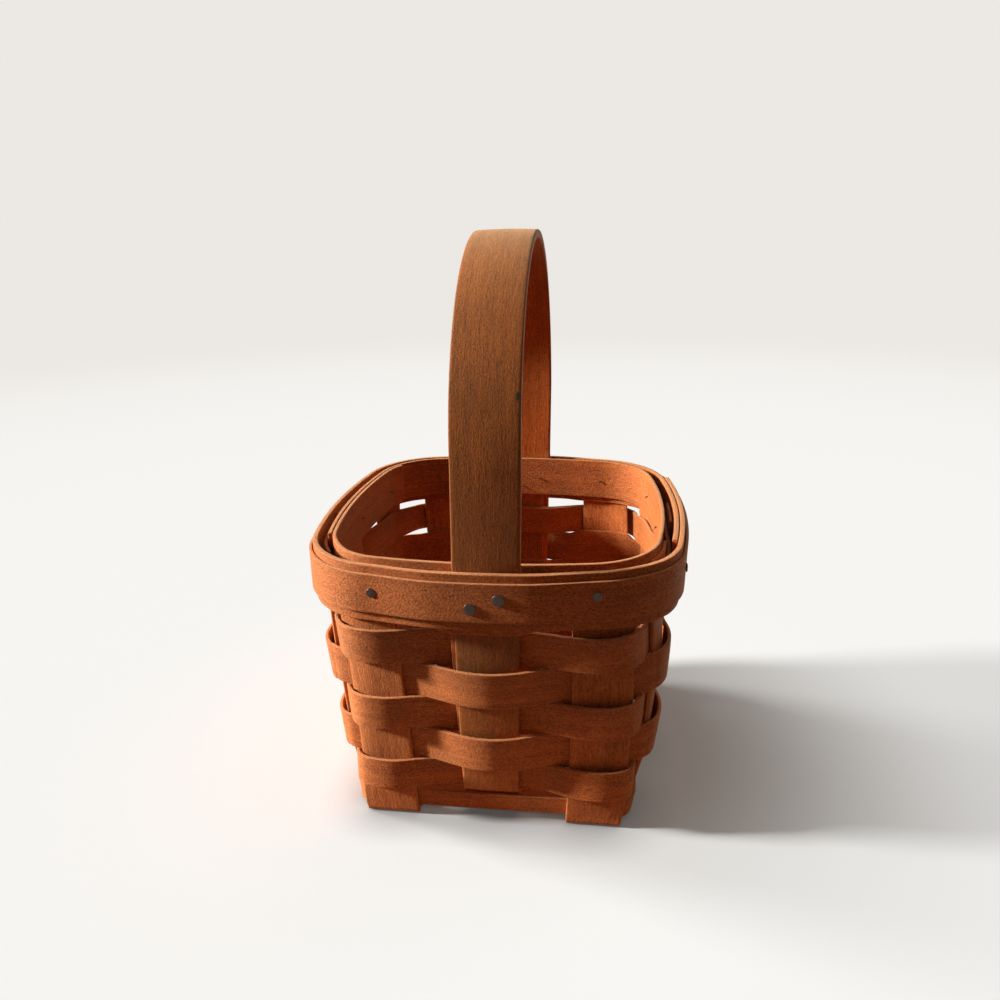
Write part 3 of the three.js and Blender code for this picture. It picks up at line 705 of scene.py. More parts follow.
def weaver_stations(row):
    lap_side = BACK if row % 2 else LEFT
    laps = row != TOP_ROW
    turn = 3 * SIDES
    lap_layers = {1: -1, turn: 1} if laps else {}
    passes = []
    for number in range(turn + (2 if laps else 1)):
        layer = lap_layers.get(number, 0)
        passes.append(crossing(row, lap_side + number // 3, number % 3 - 1, layer))
    drift = wander(WEAVER_SEED + row, WEAVER_WAVE_LENGTH)
    stations = []

    def add(place, offset_at):
        wave = WEAVER_WAVE * drift((len(stations) + 1) * STEP) if laps else 0
        low, high = (z + row_change(row, place) + wave for z in rows[row])
        inside = smooth(-offset_at(low), TUCK_FROM, layer_step)
        if 0 < row < TOP_ROW:
            low -= FRONT_TUCK * inside * nearness(place, *FRONT_TUCKED)
        if 0 < row < LAST_FULL_ROW:
            high += ROW_CLOSING + BACK_TUCK * inside * nearness(place, *BACK_TUCKED)
        if row == LAST_FULL_ROW:
            high -= BACK_TRIM * nearness(place, *BACK_TRIMMED)
        stations.append(line_across(place, low, high, offset_at))

    for number, one in enumerate(passes):
        first, final = number == 0, number == len(passes) - 1
        steps = round((one.end - one.start) / STEP)
        for step in range(steps + 1):
            share = step / steps
            if (first and share < 0.5) or (final and share > 0.5):
                continue
            butt = 0
            if not laps and share == 0.5:
                butt = CLEARANCE if first else -CLEARANCE if final else 0
            place = at(one.side, lerp(one.start, one.end, share) + butt)
            add(place, lambda z: crossing_offset(one, share, z))
        if final:
            continue
        following = passes[number + 1]
        start, end = at(one.side, one.end), at(following.side, following.start)
        for step in range(1, CHANGE_STEPS):
            share = step / CHANGE_STEPS
            add(lerp(start, end, share), lambda z: between_offset(one, following, share, z))
    return stations


# Stakes


def columns_at(middle):
    return [middle + share * STAKE_WIDTH / 2 for share in ACROSS]


def crossed_stake(side, index, crossed):
    """From and to, along a stake in the base, of a strip that it crosses."""
    near = crossed * STAKE_PITCH
    middle, slant = near, 0
    if side == RIGHT:
        far = -stake_middle(BACK, -crossed)
        middle = lerp(near, far, (index * STAKE_PITCH + stake_edge) / (2 * stake_edge))
        slant = abs(far - near) * STAKE_WIDTH / (4 * stake_edge)
    reach = STAKE_WIDTH / 2 + CLEARANCE + slant
    return middle - reach, middle + reach


def stake_level(side, index, out):
    """How high a stake runs in the base, over one crossed strip and under the next."""

    def level(crossed):
        return low_level if abs(index + crossed) % 2 == side else high_level

    for crossed in (1, 0):
        leaves = crossed_stake(side, index, crossed)[0]
        reaches = crossed_stake(side, index, crossed - 1)[1]
        if out > leaves:
            return level(crossed)
        if out > reaches:
            return lerp(level(crossed), level(crossed - 1), smooth(leaves - out, 0, leaves - reaches))
    return level(-1)


def stake_stations(side, index):
    """Up one wall, across the base through the other set, and up the opposite wall."""
    near = columns_at(stake_middle(side, index))
    far = columns_at(-stake_middle(side + 2, -index))
    base = stake_level(side, index, stake_edge)
    wall_start = bend_top(base)
    edge = -wall_point(at(FRONT, 0), wall_start)[1] - BEND_RADIUS * math.cos(lean)
    edge += stake_shift(side, index, base)

    def wall(wall_side, columns, sign, z):
        shift = stake_shift(wall_side, index, z)
        return [wall_point(at(wall_side, sign * x * splay(z)), z, shift) for x in columns]

    def bend(wall_side, columns, sign, angle):
        out = edge + BEND_RADIUS * math.sin(angle)
        z = base + BEND_RADIUS * (1 - math.cos(angle))
        return [turned(wall_side, sign * x, out, z) for x in columns]

    count = round((stake_top - wall_start) / STEP)
    up = [lerp(wall_start, stake_top, i / count) for i in range(1, count + 1)]
    angles = [step / BEND_STEPS * (math.pi / 2 - lean) for step in range(1, BEND_STEPS + 1)]
    stations = [wall(side, near, 1, z) for z in reversed(up)]
    stations += [bend(side, near, 1, angle) for angle in reversed(angles)]
    count = round(2 * edge / STEP)
    for i in range(count + 1):
        out = lerp(edge, -edge, i / count)
        share = (stake_edge - out) / (2 * stake_edge)
        level = stake_level(side, index, out)
        stations.append([turned(side, lerp(a, b, share), out, level) for a, b in zip(near, far)])
    stations += [bend(side + 2, far, -1, angle) for angle in angles]
    stations += [wall(side + 2, far, -1, z) for z in up]
    return stations


# Rim bands

CLIMB = 0.35
CLIMB_MARGIN = 0.03


def bump(place):
    """How far the handle pushes the outer bands out, along the front and the back."""
    side = math.floor(place)
    if side % 2 or place - side > SIDE_SHARE:
        return 0
    return handle_bump * (1 - smooth(abs(across_side(place)), leg_half_reach, STAKE_PITCH))


def band_ends(lap):
    side, near, far = lap
    return at_share(side, near), at_share(side + SIDES, far)


def climb_before(place, end):
    return smooth(place, end - CLIMB_MARGIN - CLIMB, end - CLIMB_MARGIN)


def climb_after(place, end):
    return smooth(place, end + CLIMB_MARGIN, end + CLIMB_MARGIN + CLIMB)


outer_start, outer_end = band_ends(OUTER_BAND_LAP)
inner_start, inner_end = band_ends(INNER_BAND_LAP)
trim_start, trim_end = band_ends(TRIM_LAP)
outer_lap = OUTER_BAND_THICKNESS + CLEARANCE
inner_lap = INNER_BAND_THICKNESS + CLEARANCE
trim_lap = TRIM_THICKNESS + CLEARANCE


def outer_band_middle(place):
    lap = outer_lap * climb_before(place, outer_start + SIDES)
    return rim_half_stack + bump(place) + lap + OUTER_BAND_THICKNESS / 2


def trim_middle(place):
    turn = place % SIDES
    layers = climb_before(turn, outer_start) - climb_after(turn, outer_end - SIDES)
    own = trim_lap * climb_before(place, trim_start + SIDES)
    return rim_half_stack + bump(place) + outer_lap * (1 + layers) + own + TRIM_THICKNESS / 2


def inner_band_middle(place):
    lap = inner_lap * (1 - climb_after(place, inner_end - SIDES))
    return -rim_half_stack - lap - INNER_BAND_THICKNESS / 2


BAND_WAVE = 0.1 * MM
BAND_WAVE_LENGTH = 120 * MM
BAND_SEED = 31
END_MARGIN = 0.004


def band_stations(start, end, low_high, middle, seed):
    """Rows of points along a band; the steps round the corners are as long as along the sides."""
    drift = wander(seed, BAND_WAVE_LENGTH)
    side_steps = round(2 * stake_edge / STEP)
    places = []
    for side in range(math.floor(start), math.ceil(end)):
        places += [side + SIDE_SHARE * i / side_steps for i in range(side_steps)]
        places += [side + lerp(SIDE_SHARE, 1, i / CORNER_STEPS) for i in range(CORNER_STEPS)]
    inside = [place for place in places if start + END_MARGIN < place < end - END_MARGIN]
    stations = []
    for place in [start, *inside, end]:
        shift = BAND_WAVE * drift(place * 2 * stake_edge)
        low, high = (z + shift for z in low_high)
        stations.append(line_across(place, low, high, lambda z: middle(place)))
    return stations


# Handle


def handle_stations():
    """Up the front leg, over the arch and down the back leg, with the thickness at each station."""

    def crown(s):
        return HANDLE_CROWN * s * s

    def leg(side, z):
        middle, width = leg_plan(side, z)
        shoulder = rows[TOP_ROW][1] + CLEARANCE - (TOP_ROW_DIP if side == FRONT else 0)
        full = smooth(z, shoulder, shoulder + SHOULDER_HEIGHT)
        thickness = lerp(tail_thickness, HANDLE_THICKNESS, full)
        depth = stake_shift(side, 0, z) + handle_face + thickness / 2
        sign = 1 if side == FRONT else -1
        line = []
        for s in ACROSS:
            line.append(wall_point(at(side, sign * (middle + s * width / 2)), z, depth - crown(s)))
        return line, thickness / HANDLE_THICKNESS

    def free_leg(side, z):
        rise = (z - leg_free) / (arch_centre - leg_free)
        middle, _ = leg_plan(side, z)
        reach = arch_radius - HANDLE_SPREAD * (1 - rise) + HANDLE_THICKNESS / 2
        sign = -1 if side == FRONT else 1
        return [(middle + s * HANDLE_WIDTH / 2, sign * (reach - crown(s)), z) for s in ACROSS], 1

    def arch(angle):
        line = []
        for s in ACROSS:
            reach = arch_radius + HANDLE_THICKNESS / 2 - crown(s)
            y, z = -reach * math.cos(angle), arch_centre + reach * math.sin(angle)
            line.append((HANDLE_SIDE_OFFSET + s * HANDLE_WIDTH / 2, y, z))
        return line, 1

    count = round((leg_free - handle_end) / STEP)
    climb = [lerp(handle_end, leg_free, i / count) for i in range(count + 1)]
    spread = [lerp(leg_free, arch_centre, i / SPREAD_STEPS) for i in range(1, SPREAD_STEPS)]
    front, back = ([leg(s, z) for z in climb] + [free_leg(s, z) for z in spread] for s in (FRONT, BACK))
    over = [arch(math.pi * i / ARCH_STEPS) for i in range(ARCH_STEPS + 1)]
    return zip(*front, *over, *reversed(back))


# Tacks

TACK_NAMES = sorted(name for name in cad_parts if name.startswith("tack_"))
TACK_HEAD_RADIUS = 2.0 * MM
TACK_HEAD_HEIGHT = 0.6 * MM
TACK_HEAD_RIM = 0.12
TACK_HEAD_SEAT = 1.2 * MM
TACK_TIP_LENGTH = 0.9 * MM
TACK_TIP_RADIUS = 0.3 * MM
TACK_WALL_SIZE = 0.8
TACK_HANDLE_SIZE = 1
TACK_FACETS = 7
TACK_SEED = 7


def painted_mesh(name, vertices, faces, material):
    mesh = bpy.data.meshes.new(name)
    mesh.from_pydata(vertices, [], faces)
    mesh.materials.append(material)
    return mesh


def tack_head_mesh():
    """A low domed head with a slightly uneven hammered face, out along Z, and a short shank."""
    radius, height = TACK_HEAD_RADIUS, TACK_HEAD_HEIGHT
    profile = [(0, 1), (0.3, 0.985), (0.55, 0.93), (0.75, 0.82), (0.89, 0.66), (0.97, 0.45), (1, 0.25)]
    profile += [(1, TACK_HEAD_RIM), (0.97, 0), (0.25, 0), (0.22, -1.5)]
    segments = 28
    draw = random.Random(TACK_SEED)
    facets = [draw.uniform(-0.05, 0.05) for _ in range(TACK_FACETS)]
    vertices, faces = [(0, 0, height)], []
    for reach, level in profile[1:]:
        for i in range(segments):
            angle = 2 * math.pi * i / segments
            uneven = facets[i * TACK_FACETS // segments] * (1 - abs(2 * reach - 1)) if level > 0.3 else 0
            r = reach * radius * (1 + 0.02 * math.sin(3 * angle + 1) * (reach > 0.5))
            vertices.append((r * math.cos(angle), r * math.sin(angle), (level + uneven) * height))
    for i in range(segments):
        faces.append((0, 1 + i, 1 + (i + 1) % segments))
    for ring in range(len(profile) - 2):
        first = 1 + ring * segments
        for i in range(segments):
            j = (i + 1) % segments
            faces.append((first + i, first + segments + i, first + segments + j, first + j))
    last = 1 + (len(profile) - 2) * segments
    faces.append([last + i for i in reversed(range(segments))])
    return painted_mesh("tack_head", vertices, faces, tack_metal)


def tack_tip_mesh():
    """The clinched end inside: it comes out of the band along Z and lies bent down along -Y."""
    radius = TACK_TIP_RADIUS
    rings = [(0.0, -1.0, 0.0, 1.0), (0.0, 0.3, 0.0, 1.0), (0.35, 0.95, 0.6, 1.0), (1.0, 1.15, 1.3, 0.95)]
    rings += [(2.2, 1.0, 1.5, 0.8), (TACK_TIP_LENGTH / radius, 0.75, 1.5, 0.3)]
    segments = 12
    vertices, faces = [], []
    for down, out, tilt, size in rings:
        for i in range(segments):
            angle = 2 * math.pi * i / segments
            side, up = size * math.cos(angle), size * math.sin(angle)
            y = -down + up * math.cos(tilt)
            z = out + up * math.sin(tilt) * 0.6
            vertices.append((side * radius, y * radius, z * radius))
    for ring in range(len(rings) - 1):
        first = ring * segments
        for i in range(segments):
            j = (i + 1) % segments
            faces.append((first + i, first + j, first + segments + j, first + segments + i))
    faces.append(list(reversed(range(segments))))
    faces.append([(len(rings) - 1) * segments + i for i in range(segments)])
    return painted_mesh("tack_tip", vertices, faces, tack_metal)


def studs_tree():
    """Sets one small shape on each point, turned by the point's own directions and sized by it."""
    tree, given, result = new_tree(
        "studs_on_points",
        "GeometryNodeTree",
        [
            ("Points", "NodeSocketGeometry"),
            ("Shape", "NodeSocketObject"),
            ("Size", "NodeSocketFloat", 1.0),
            ("Finish", "NodeSocketMaterial"),
        ],
        [("Studs", "NodeSocketGeometry")],
    )
    shape = node(tree, "GeometryNodeObjectInfo", {"Object": given["Shape"]}).outputs["Geometry"]
    out, up = (named(tree, name, "FLOAT_VECTOR") for name in ("out", "up"))
    axes = {"Primary Axis": out, "Secondary Axis": up}
    turn = node(tree, "FunctionNodeAxesToRotation", axes, primary_axis="Z", secondary_axis="Y").outputs[0]
    size = maths(tree, "MULTIPLY", given["Size"], named(tree, "size"))
    scale = combined(tree, size, size, size)
    inputs = {"Points": given["Points"], "Instance": shape, "Rotation": turn, "Scale": scale}
    placed = node(tree, "GeometryNodeInstanceOnPoints", inputs).outputs[0]
    return finish_tree(tree, placed, given, result)


def studs(name, shape_mesh, places, outs, sizes):
    """One piece of small shapes, each at its place, turned its own way out and of its own size."""
    shape = bpy.data.objects.new(name + "_shape", shape_mesh)
    scene.collection.objects.link(shape)
    mesh = bpy.data.meshes.new(name + "_points")
    mesh.from_pydata([tuple(place) for place in places], [], [])
    for label, values in (("out", outs), ("up", [(0, 0, 1)] * len(places)), ("size", sizes)):
        add_attribute(mesh, label, values)
    made = run_tree(studs_nodes, mesh, name, {"Shape": shape, "Size": 1.0, "Finish": tack_metal})
    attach(made, "root")
    bpy.data.objects.remove(shape)
    return made


def tack_ends(name):
    """Where a tack's head sits, where its tip comes out, and the way from the tip to the head."""
    low, high = (np.array(corner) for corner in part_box(name))
    wall = name.split("_")[1]
    out = np.zeros(3)
    out[1 if wall in ("front", "back") else 0] = 1 if wall in ("back", "right") else -1
    middle = (low + high) / 2
    middle[2] = high[2] - TACK_HEAD_RADIUS * math.cos(math.pi / 8)
    reach = (high - low) / 2 * out
    return middle + reach, middle - reach, out


# Materials

EDGE_COLOUR = (0.6, 0.27, 0.12)
PORE_COLOUR = (0.08, 0.014, 0.004)
PAINTED_LIT_FACE_FROM = 0.5 * MM
KNOT_SIZE = (0.6 * MM, 1.5 * MM, 1.5 * MM)
KNOT_COLOUR = (0.012, 0.006, 0.004)
EDGE_STRENGTH = 0.4
MOTTLE_STRENGTH = 0.9
KNOT_REACH = 1.9
KNOT_RAGGED = -0.6
ROUGHNESS = 0.62
ROUGHNESS_BY_TONE = -0.15
SPECULAR = 0.12
SHEEN = 0.3
SHEEN_ROUGHNESS = 0.6
SHEEN_TINT = (1, 0.7, 0.38, 1)

# The grain's marks: their sizes along the strip and across it, from which level of the noise on and
# how softly a pore starts, how deep it is, and the contrast of the whole
STREAK_SIZE = (70 * MM, 2.2 * MM)
PEBBLE_SIZE = (0.75 * MM, 0.55 * MM)
MOTTLE_SIZE = (26 * MM, 13 * MM)
PORE_SIZE = (2.2 * MM, 0.34 * MM)
PORE_LEVEL = 0.3
PORE_LEVEL_BY_AMOUNT = 0.16
PORE_SOFTNESS = 0.07
PORE_DEPTH = 0.2
TONE_CONTRAST = 2.1

# The cut edges' mask: how finely it is broken up along and across, how ragged it is, how far in it
# starts, and its least width
CUT_EDGE_SCALE = (420.0, 900.0, 900.0)
CUT_EDGE_RAGGED = 2.6
CUT_EDGE_START = -0.4
CUT_EDGE_LEAST = 0.02 * MM

# Bronzed steel: its two colours, how fine its patches are, its roughness, its relief, and how much of
# it shows as metal
STEEL_DARK = (0.02, 0.012, 0.009)
STEEL_LIGHT = (0.09, 0.055, 0.042)
STEEL_PATCHES = 900.0
STEEL_ROUGHNESS = 0.3
STEEL_ROUGHNESS_BY_PATCH = 0.3
STEEL_RELIEF = 0.05 * MM
STEEL_BUMP = 0.4
STEEL_METALLIC = 0.85

# Painted bounce light: the wood is painted lighter towards the foot, as if lit from the floor. Its
# strength at the floor, and the height above which nothing is painted
PAINTED_BOUNCE = 1.25
PAINTED_BOUNCE_BELOW = 75 * MM


def grain_group():
    """Wood seen along its grain: fibres, long streaks, a pebbled face, pores and a slow mottle."""
    defaults = {
        "Fibre Width": 0.5 * MM,
        "Fibre Length": 4.0 * MM,
        "Fibre Amount": 1.0,
        "Streak Amount": 0.4,
        "Pebble Amount": 1.0,
        "Pore Amount": 0.5,
    }
    inputs = [("Place", "NodeSocketVector")]
    inputs += [(name, "NodeSocketFloat", value) for name, value in defaults.items()]
    outputs = [(name, "NodeSocketFloat") for name in ("Tone", "Pores", "Mottle", "Height")]
    tree, given, result = new_tree("splint_grain", "ShaderNodeTree", inputs, outputs)

    def noise(along, across, detail, roughness, distortion=0.0):
        """Noise stretched along the grain, between -0.5 and 0.5; the sizes are in metres."""
        stretched = vector_maths(tree, "DIVIDE", given["Place"], combined(tree, along, across, across))
        inputs = {"Vector": stretched, "Scale": 1.0, "Detail": detail, "Roughness": roughness}
        made = node(tree, "ShaderNodeTexNoise", inputs | {"Distortion": distortion})
        return maths(tree, "SUBTRACT", made.outputs[0], 0.5)

    def amount(value, name):
        return maths(tree, "MULTIPLY", value, given[name])

    fibres = amount(noise(given["Fibre Length"], given["Fibre Width"], 3.0, 0.65), "Fibre Amount")
    streaks = amount(noise(*STREAK_SIZE, 3.0, 0.6, 0.4), "Streak Amount")
    pebbles = amount(noise(*PEBBLE_SIZE, 3.0, 0.7), "Pebble Amount")
    mottle = noise(*MOTTLE_SIZE, 3.0, 0.55, 0.4)
    dashes = noise(*PORE_SIZE, 1.0, 0.5)
    lowered = maths(tree, "MULTIPLY", given["Pore Amount"], PORE_LEVEL_BY_AMOUNT)
    pore_edge = maths(tree, "SUBTRACT", PORE_LEVEL, lowered)
    pore_full = maths(tree, "ADD", pore_edge, PORE_SOFTNESS)
    limits = {"Value": dashes, "From Min": pore_edge, "From Max": pore_full}
    pores = node(tree, "ShaderNodeMapRange", limits).outputs[0]
    tone = maths(tree, "ADD", fibres, maths(tree, "ADD", streaks, pebbles))
    tone = maths(tree, "MULTIPLY_ADD", tone, TONE_CONTRAST, 0.5, clamped=True)
    height = maths(tree, "ADD", fibres, pebbles)
    height = maths(tree, "SUBTRACT", height, maths(tree, "MULTIPLY", pores, PORE_DEPTH))
    feed(tree, result, {"Tone": tone, "Pores": pores, "Mottle": mottle, "Height": height})
    return tree


def cut_edge_group():
    """A mask of the cut edges, which take a paler thin stain and, on the handle, painted shade: full on
    the edge, broken up further in.
    """
    tree, given, result = new_tree(
        "cut_edges",
        "ShaderNodeTree",
        [
            ("Place", "NodeSocketVector"),
            ("Edge Distance", "NodeSocketFloat"),
            ("Edge Width", "NodeSocketFloat", 0.3 * MM),
        ],
        [("Mask", "NodeSocketFloat")],
    )
    stretched = vector_maths(tree, "MULTIPLY", given["Place"], CUT_EDGE_SCALE)
    rough = node(tree, "ShaderNodeTexNoise", {"Vector": stretched, "Scale": 1.0, "Detail": 3.0}).outputs[0]
    ragged = maths(tree, "MULTIPLY_ADD", rough, CUT_EDGE_RAGGED, CUT_EDGE_START)
    reach = maths(tree, "MULTIPLY", given["Edge Width"], ragged)
    share = maths(tree, "DIVIDE", given["Edge Distance"], maths(tree, "MAXIMUM", reach, CUT_EDGE_LEAST))
    mask = maths(tree, "SUBTRACT", 1.0, share, clamped=True)
    feed(tree, result, {"Mask": mask})
    return tree


def mixed(tree, factor, first, second, blend="MIX"):
    """A mix of two colours, which are the mix node's third pair of inputs."""
    first, second = ((*colour, 1) if isinstance(colour, tuple) else colour for colour in (first, second))
    inputs = {0: factor, 6: first, 7: second}
    return node(tree, "ShaderNodeMix", inputs, data_type="RGBA", blend_type=blend).outputs[2]


def new_material(name):
    material = bpy.data.materials.new(name)
    material.use_nodes = True
    return material, material.node_tree, material.node_tree.nodes["Principled BSDF"]


def strip_attribute(tree, name, output="Fac"):
    return node(tree, "ShaderNodeAttribute", attribute_name=name).outputs[output]


def stained_wood(
    name,
    dark,
    light,
    relief,
    grain_values,
    pore=PORE_COLOUR,
    edge=EDGE_COLOUR,
    painted_bounce=PAINTED_BOUNCE,
    sheen=SHEEN,
    painted_lit_face=None,
    knot=None,
):
    """Stained splint. Colours are linear; the grain follows each strip. The cut edges take the edge
    colour, a paler thin stain, but on the handle painted shade along its rounded edges. The colour is
    painted lighter towards the foot as painted bounce light. The face that a strip's path turns to can be
    multiplied by a colour, which on the handle is painted light on its inner face, and a knot is a small
    dark spot at a place on the piece."""
    material, tree, shader = new_material(name)
    place = strip_attribute(tree, "grain_place", "Vector")
    grain = node(tree, "ShaderNodeGroup", {"Place": place} | grain_values, node_tree=grain_nodes).outputs
    edges = {"Place": place, "Edge Distance": strip_attribute(tree, "edge_distance")}
    cut = node(tree, "ShaderNodeGroup", edges, node_tree=edge_nodes).outputs["Mask"]

    colour = mixed(tree, grain["Tone"], dark, light)
    # painted light: the chosen face is multiplied by a lighter colour, as if more light fell on it
    if painted_lit_face:
        on_painted_lit_face = maths(tree, "MULTIPLY", strip_attribute(tree, "face_side"), 1 / PAINTED_LIT_FACE_FROM, clamped=True)
        colour = mixed(tree, on_painted_lit_face, colour, mixed(tree, 1.0, colour, painted_lit_face, "MULTIPLY"))
    on_piece = node(tree, "ShaderNodeTexCoord").outputs["Object"]
    # painted bounce light: the colour is made lighter towards the foot, as if lit from the floor below
    limits = {"Value": separated(tree, on_piece)[2], "From Max": PAINTED_BOUNCE_BELOW, "To Min": painted_bounce}
    bounce_lit = node(tree, "ShaderNodeMapRange", limits).outputs[0]
    mottle_and_bounce = maths(tree, "MULTIPLY_ADD", grain["Mottle"], MOTTLE_STRENGTH, bounce_lit)
    colour = mixed(tree, 1.0, colour, combined(tree, mottle_and_bounce, mottle_and_bounce, mottle_and_bounce), "MULTIPLY")
    colour = mixed(tree, grain["Pores"], colour, pore)
    if knot:
        away = vector_maths(tree, "DIVIDE", vector_maths(tree, "SUBTRACT", on_piece, knot), KNOT_SIZE)
        distance = vector_maths(tree, "LENGTH", away, result="Value")
        ragged = maths(tree, "MULTIPLY_ADD", grain["Tone"], KNOT_RAGGED, KNOT_REACH)
        colour = mixed(tree, maths(tree, "SUBTRACT", ragged, distance, clamped=True), colour, KNOT_COLOUR)
    colour = mixed(tree, maths(tree, "MULTIPLY", cut, EDGE_STRENGTH), colour, edge)
    roughness = maths(tree, "MULTIPLY_ADD", grain["Tone"], ROUGHNESS_BY_TONE, ROUGHNESS)
    bumped = node(tree, "ShaderNodeBump", {"Strength": 1.0, "Distance": relief, "Height": grain["Height"]})
    feed(tree, shader, {"Base Color": colour, "Roughness": roughness, "Normal": bumped.outputs[0]})
    feed(tree, shader, {"Specular IOR Level": SPECULAR, "Sheen Weight": sheen})
    feed(tree, shader, {"Sheen Roughness": SHEEN_ROUGHNESS, "Sheen Tint": SHEEN_TINT})
    return material


def bronzed_steel():
    material, tree, shader = new_material("bronzed_steel")
    place = node(tree, "ShaderNodeTexCoord").outputs["Object"]
    inputs = {"Vector": place, "Scale": STEEL_PATCHES, "Detail": 4.0}
    patches = node(tree, "ShaderNodeTexNoise", inputs).outputs[0]
    colour = mixed(tree, patches, STEEL_DARK, STEEL_LIGHT)
    roughness = maths(tree, "MULTIPLY_ADD", patches, STEEL_ROUGHNESS_BY_PATCH, STEEL_ROUGHNESS)
    inputs = {"Strength": STEEL_BUMP, "Distance": STEEL_RELIEF, "Height": patches}
    bumped = node(tree, "ShaderNodeBump", inputs)
    feed(tree, shader, {"Base Color": colour, "Roughness": roughness, "Normal": bumped.outputs[0]})
    shader.inputs["Metallic"].default_value = STEEL_METALLIC
    return material


# Studio


def make_camera():
    data = bpy.data.cameras.new("camera")
    data.sensor_fit = "HORIZONTAL"
    data.sensor_width = SENSOR_WIDTH_MM
    data.lens = FOCAL_PIXELS * SENSOR_WIDTH_MM / IMAGE_PIXELS
    data.clip_start, data.clip_end = CAMERA_CLIP
    camera = bpy.data.objects.new("camera", data)
    placed = Matrix.Translation(CAMERA_PLACE)
    for angle, axis in ((CAMERA_AZIMUTH, "Z"), (math.pi / 2 - CAMERA_ELEVATION, "X"), (CAMERA_ROLL, "Z")):
        placed = placed @ Matrix.Rotation(angle, 4, axis)
    camera.matrix_world = placed
    scene.collection.objects.link(camera)
    scene.camera = camera


def seen_directly(tree):
    """One for the rays that show the surroundings as they are: camera, gloss and transmission."""
    path = node(tree, "ShaderNodeLightPath").outputs
    through = maths(tree, "MAXIMUM", path["Is Glossy Ray"], path["Is Transmission Ray"])
    return maths(tree, "MAXIMUM", path["Is Camera Ray"], through)


def make_floor():
    """A pale floor that runs into the backdrop's colour far from the basket, with a painted shadow close
    to the basket and painted light that lifts its shadow further out.
    """
    material, tree, shader = new_material("floor_paint")
    seen = seen_directly(tree)
    place = node(tree, "ShaderNodeTexCoord").outputs["Object"]
    distance = vector_maths(tree, "LENGTH", place, result="Value")

    def rising(start, end, low, high):
        limits = {"Value": distance, "From Min": start, "From Max": end, "To Min": low, "To Max": high}
        return node(tree, "ShaderNodeMapRange", limits, interpolation_type="SMOOTHSTEP").outputs[0]

    far = rising(*FLOOR_FADE, 0.0, 1.0)
    # painted light: the floor shines by itself more with distance, which lifts the basket's shadow there
    backdrop_and_painted_light = maths(tree, "MAXIMUM", far, rising(*FLOOR_PAINTED_LIGHT))
    # painted shadow: the floor is painted darker where the basket shuts out its surroundings
    painted_shadow = node(tree, "ShaderNodeAmbientOcclusion", {"Distance": FLOOR_PAINTED_SHADOW_REACH}, samples=8)
    paint = mixed(tree, painted_shadow.outputs["AO"], FLOOR_PAINTED_SHADOW_COLOUR, FLOOR_COLOUR)
    paint = mixed(tree, backdrop_and_painted_light, mixed(tree, seen, FLOOR_BOUNCE, paint), (0.0, 0.0, 0.0))
    shine = mixed(tree, far, FLOOR_PAINTED_LIGHT_COLOUR, BACKDROP_COLOUR)
    strength = maths(tree, "MULTIPLY", backdrop_and_painted_light, seen)
    feed(tree, shader, {"Base Color": paint, "Emission Color": shine, "Emission Strength": strength})
    feed(tree, shader, {"Roughness": 1, "Specular IOR Level": 0})
    corners = [(x * FLOOR_SIZE, y * FLOOR_SIZE, 0) for x, y in ((-1, -1), (1, -1), (1, 1), (-1, 1))]
    floor = bpy.data.objects.new("floor", painted_mesh("floor", corners, [(0, 1, 2, 3)], material))
    scene.collection.objects.link(floor)


def make_lights():
    world = bpy.data.worlds.new("studio")
    world.use_nodes = True
    tree = world.node_tree
    seen = seen_directly(tree)
    colour = mixed(tree, seen, FILL_COLOUR, BACKDROP_COLOUR)
    strength = maths(tree, "MULTIPLY_ADD", seen, 1 - FILL_LEVEL, FILL_LEVEL)
    feed(tree, tree.nodes["Background"], {"Color": colour, "Strength": strength})
    scene.world = world
    for name, (*angles, level, light_colour) in LIGHTS.items():
        distant_light(name, *map(math.radians, angles), level, light_colour)


def distant_light(name, azimuth, elevation, spread, level, colour):
    data = bpy.data.lights.new(name, "SUN")
    data.energy = level * math.pi
    data.angle = spread
    data.color = colour
    light = bpy.data.objects.new(name, data)
    flat = math.cos(elevation)
    to_light = Vector((-math.cos(azimuth) * flat, -math.sin(azimuth) * flat, math.sin(elevation)))
    light.location = to_light
    light.rotation_mode = "QUATERNION"
    light.rotation_quaternion = to_light.to_track_quat("Z", "Y")
    scene.collection.objects.link(light)


# The whole basket

scene.view_settings.view_transform = "Standard"
grain_nodes = grain_group()
edge_nodes = cut_edge_group()
strip_tree = bent_strip_tree()
section_object = section_outline()
scene.collection.objects.link(section_object)

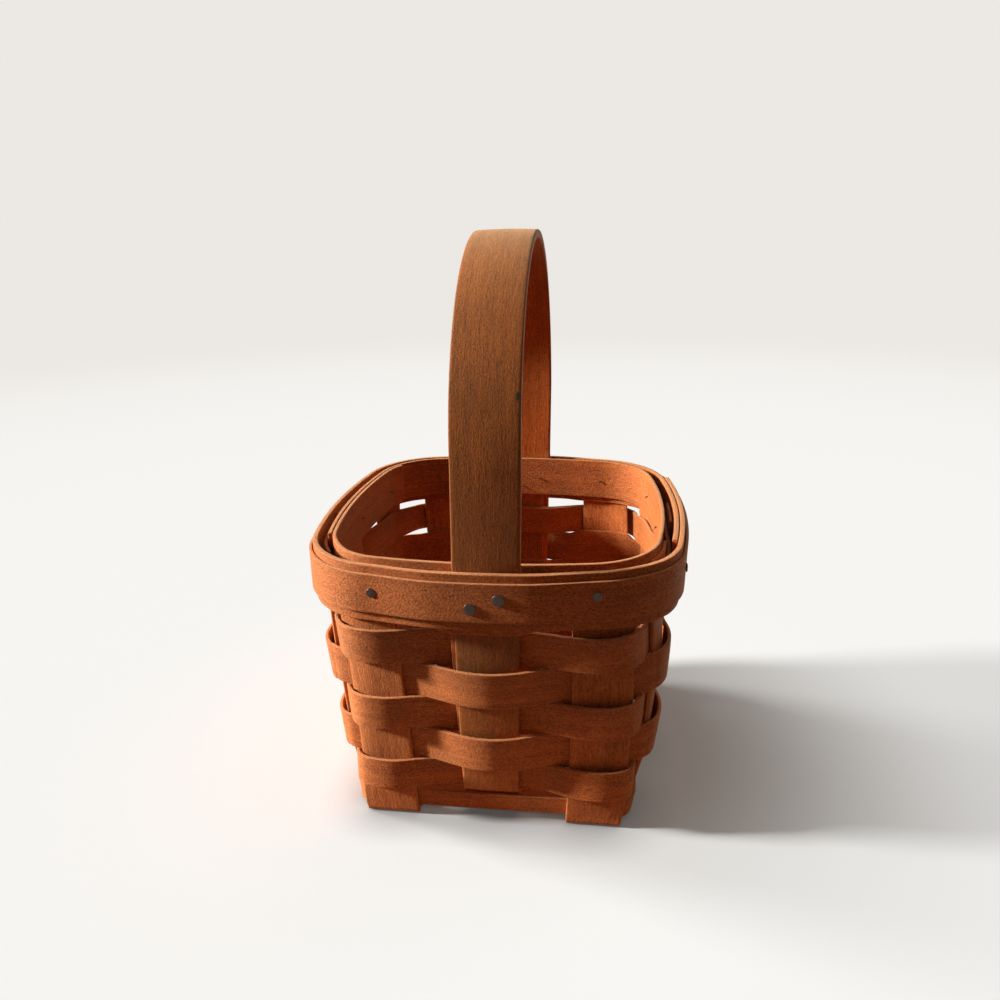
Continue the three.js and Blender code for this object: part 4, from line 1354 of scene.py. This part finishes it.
woods = {
    "stake_wood": stained_wood(
        "stake_wood",
        dark=(0.23, 0.042, 0.006),
        light=(0.6, 0.17, 0.04),
        relief=0.24 * MM,
        grain_values={"Fibre Amount": 0.7, "Pore Amount": 0.25},
    ),
    "weaver_wood": stained_wood(
        "weaver_wood",
        dark=(0.2, 0.032, 0.004),
        light=(0.58, 0.15, 0.031),
        relief=0.27 * MM,
        grain_values={"Fibre Length": 3.2 * MM, "Fibre Amount": 0.5, "Pebble Amount": 1.2},
    ),
    "band_wood": stained_wood(
        "band_wood",
        dark=(0.19, 0.031, 0.004),
        light=(0.56, 0.145, 0.029),
        relief=0.27 * MM,
        grain_values={"Fibre Length": 2.8 * MM, "Fibre Amount": 0.45, "Pebble Amount": 1.3},
    ),
    "handle_wood": stained_wood(
        "handle_wood",
        dark=(0.11, 0.022, 0.003),
        light=(0.36, 0.103, 0.019),
        relief=0.12 * MM,
        grain_values={"Fibre Amount": 0.6, "Pebble Amount": 0.8, "Pore Amount": 0.6},
        pore=(0.07, 0.015, 0.003),
        # the handle's edges are painted dark: painted shade along its rounded edges
        edge=(0.13, 0.035, 0.008),
        # the handle's legs are painted much lighter towards the foot: painted light where they lie in
        # shade under the rim
        painted_bounce=2.3,
        sheen=0.25,
        # painted light on the handle's inner face, made lighter as if lit from the front
        painted_lit_face=(2.0, 1.55, 1.05),
        knot=(12.9 * MM, -62.5 * MM, 158.6 * MM),
    ),
}
tack_metal = bronzed_steel()

stake_names = {
    FRONT: ("front_to_back", ("left", "middle", "right")),
    RIGHT: ("left_to_right", ("front", "middle", "back")),
}
for index in (-1, 0, 1):
    for side, (way, places) in stake_names.items():
        name = f"stake_{way}_{places[index + 1]}"
        strip("splint_" + name, stake_stations(side, index), STAKE_THICKNESS, "stake_wood", [name])
for row in range(len(rows)):
    name = f"splint_weaver_{row + 1}"
    strip(name, weaver_stations(row), WEAVER_THICKNESS, "weaver_wood", [f"weaver_row_{row + 1}"])

bands = (
    ("inner_band", inner_start, inner_end, inner_band_heights, inner_band_middle, INNER_BAND_THICKNESS),
    ("outer_band", outer_start, outer_end, outer_band_heights, outer_band_middle, OUTER_BAND_THICKNESS),
    ("trim", trim_start, trim_end, trim_heights, trim_middle, TRIM_THICKNESS),
)
for seed, (name, start, end, low_high, middle, thickness) in enumerate(bands, BAND_SEED):
    stations = band_stations(start, end, low_high, middle, seed)
    strip("bent_" + name, stations, thickness, "band_wood", ["rim_" + name])

path, thick = handle_stations()
strip("bent_handle", path, HANDLE_THICKNESS, "handle_wood", ["handle_hoop"], HANDLE_EDGE, thick)

studs_nodes = studs_tree()
tacks = [tack_ends(name) for name in TACK_NAMES]
outs = np.array([out for _, _, out in tacks])
head_sizes = [TACK_HANDLE_SIZE if "handle" in name else TACK_WALL_SIZE for name in TACK_NAMES]
seats = [head - out * TACK_HEAD_SEAT for head, _, out in tacks]
tack_heads = studs("tack_heads", tack_head_mesh(), seats, outs, head_sizes)
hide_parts(*TACK_NAMES)
tip_places = [tip + out * 2 * TACK_TIP_RADIUS for _, tip, out in tacks]
studs("tack_tips", tack_tip_mesh(), tip_places, -outs, [1] * len(tacks))

bpy.data.objects.remove(section_object)
make_camera()
make_floor()
make_lights()
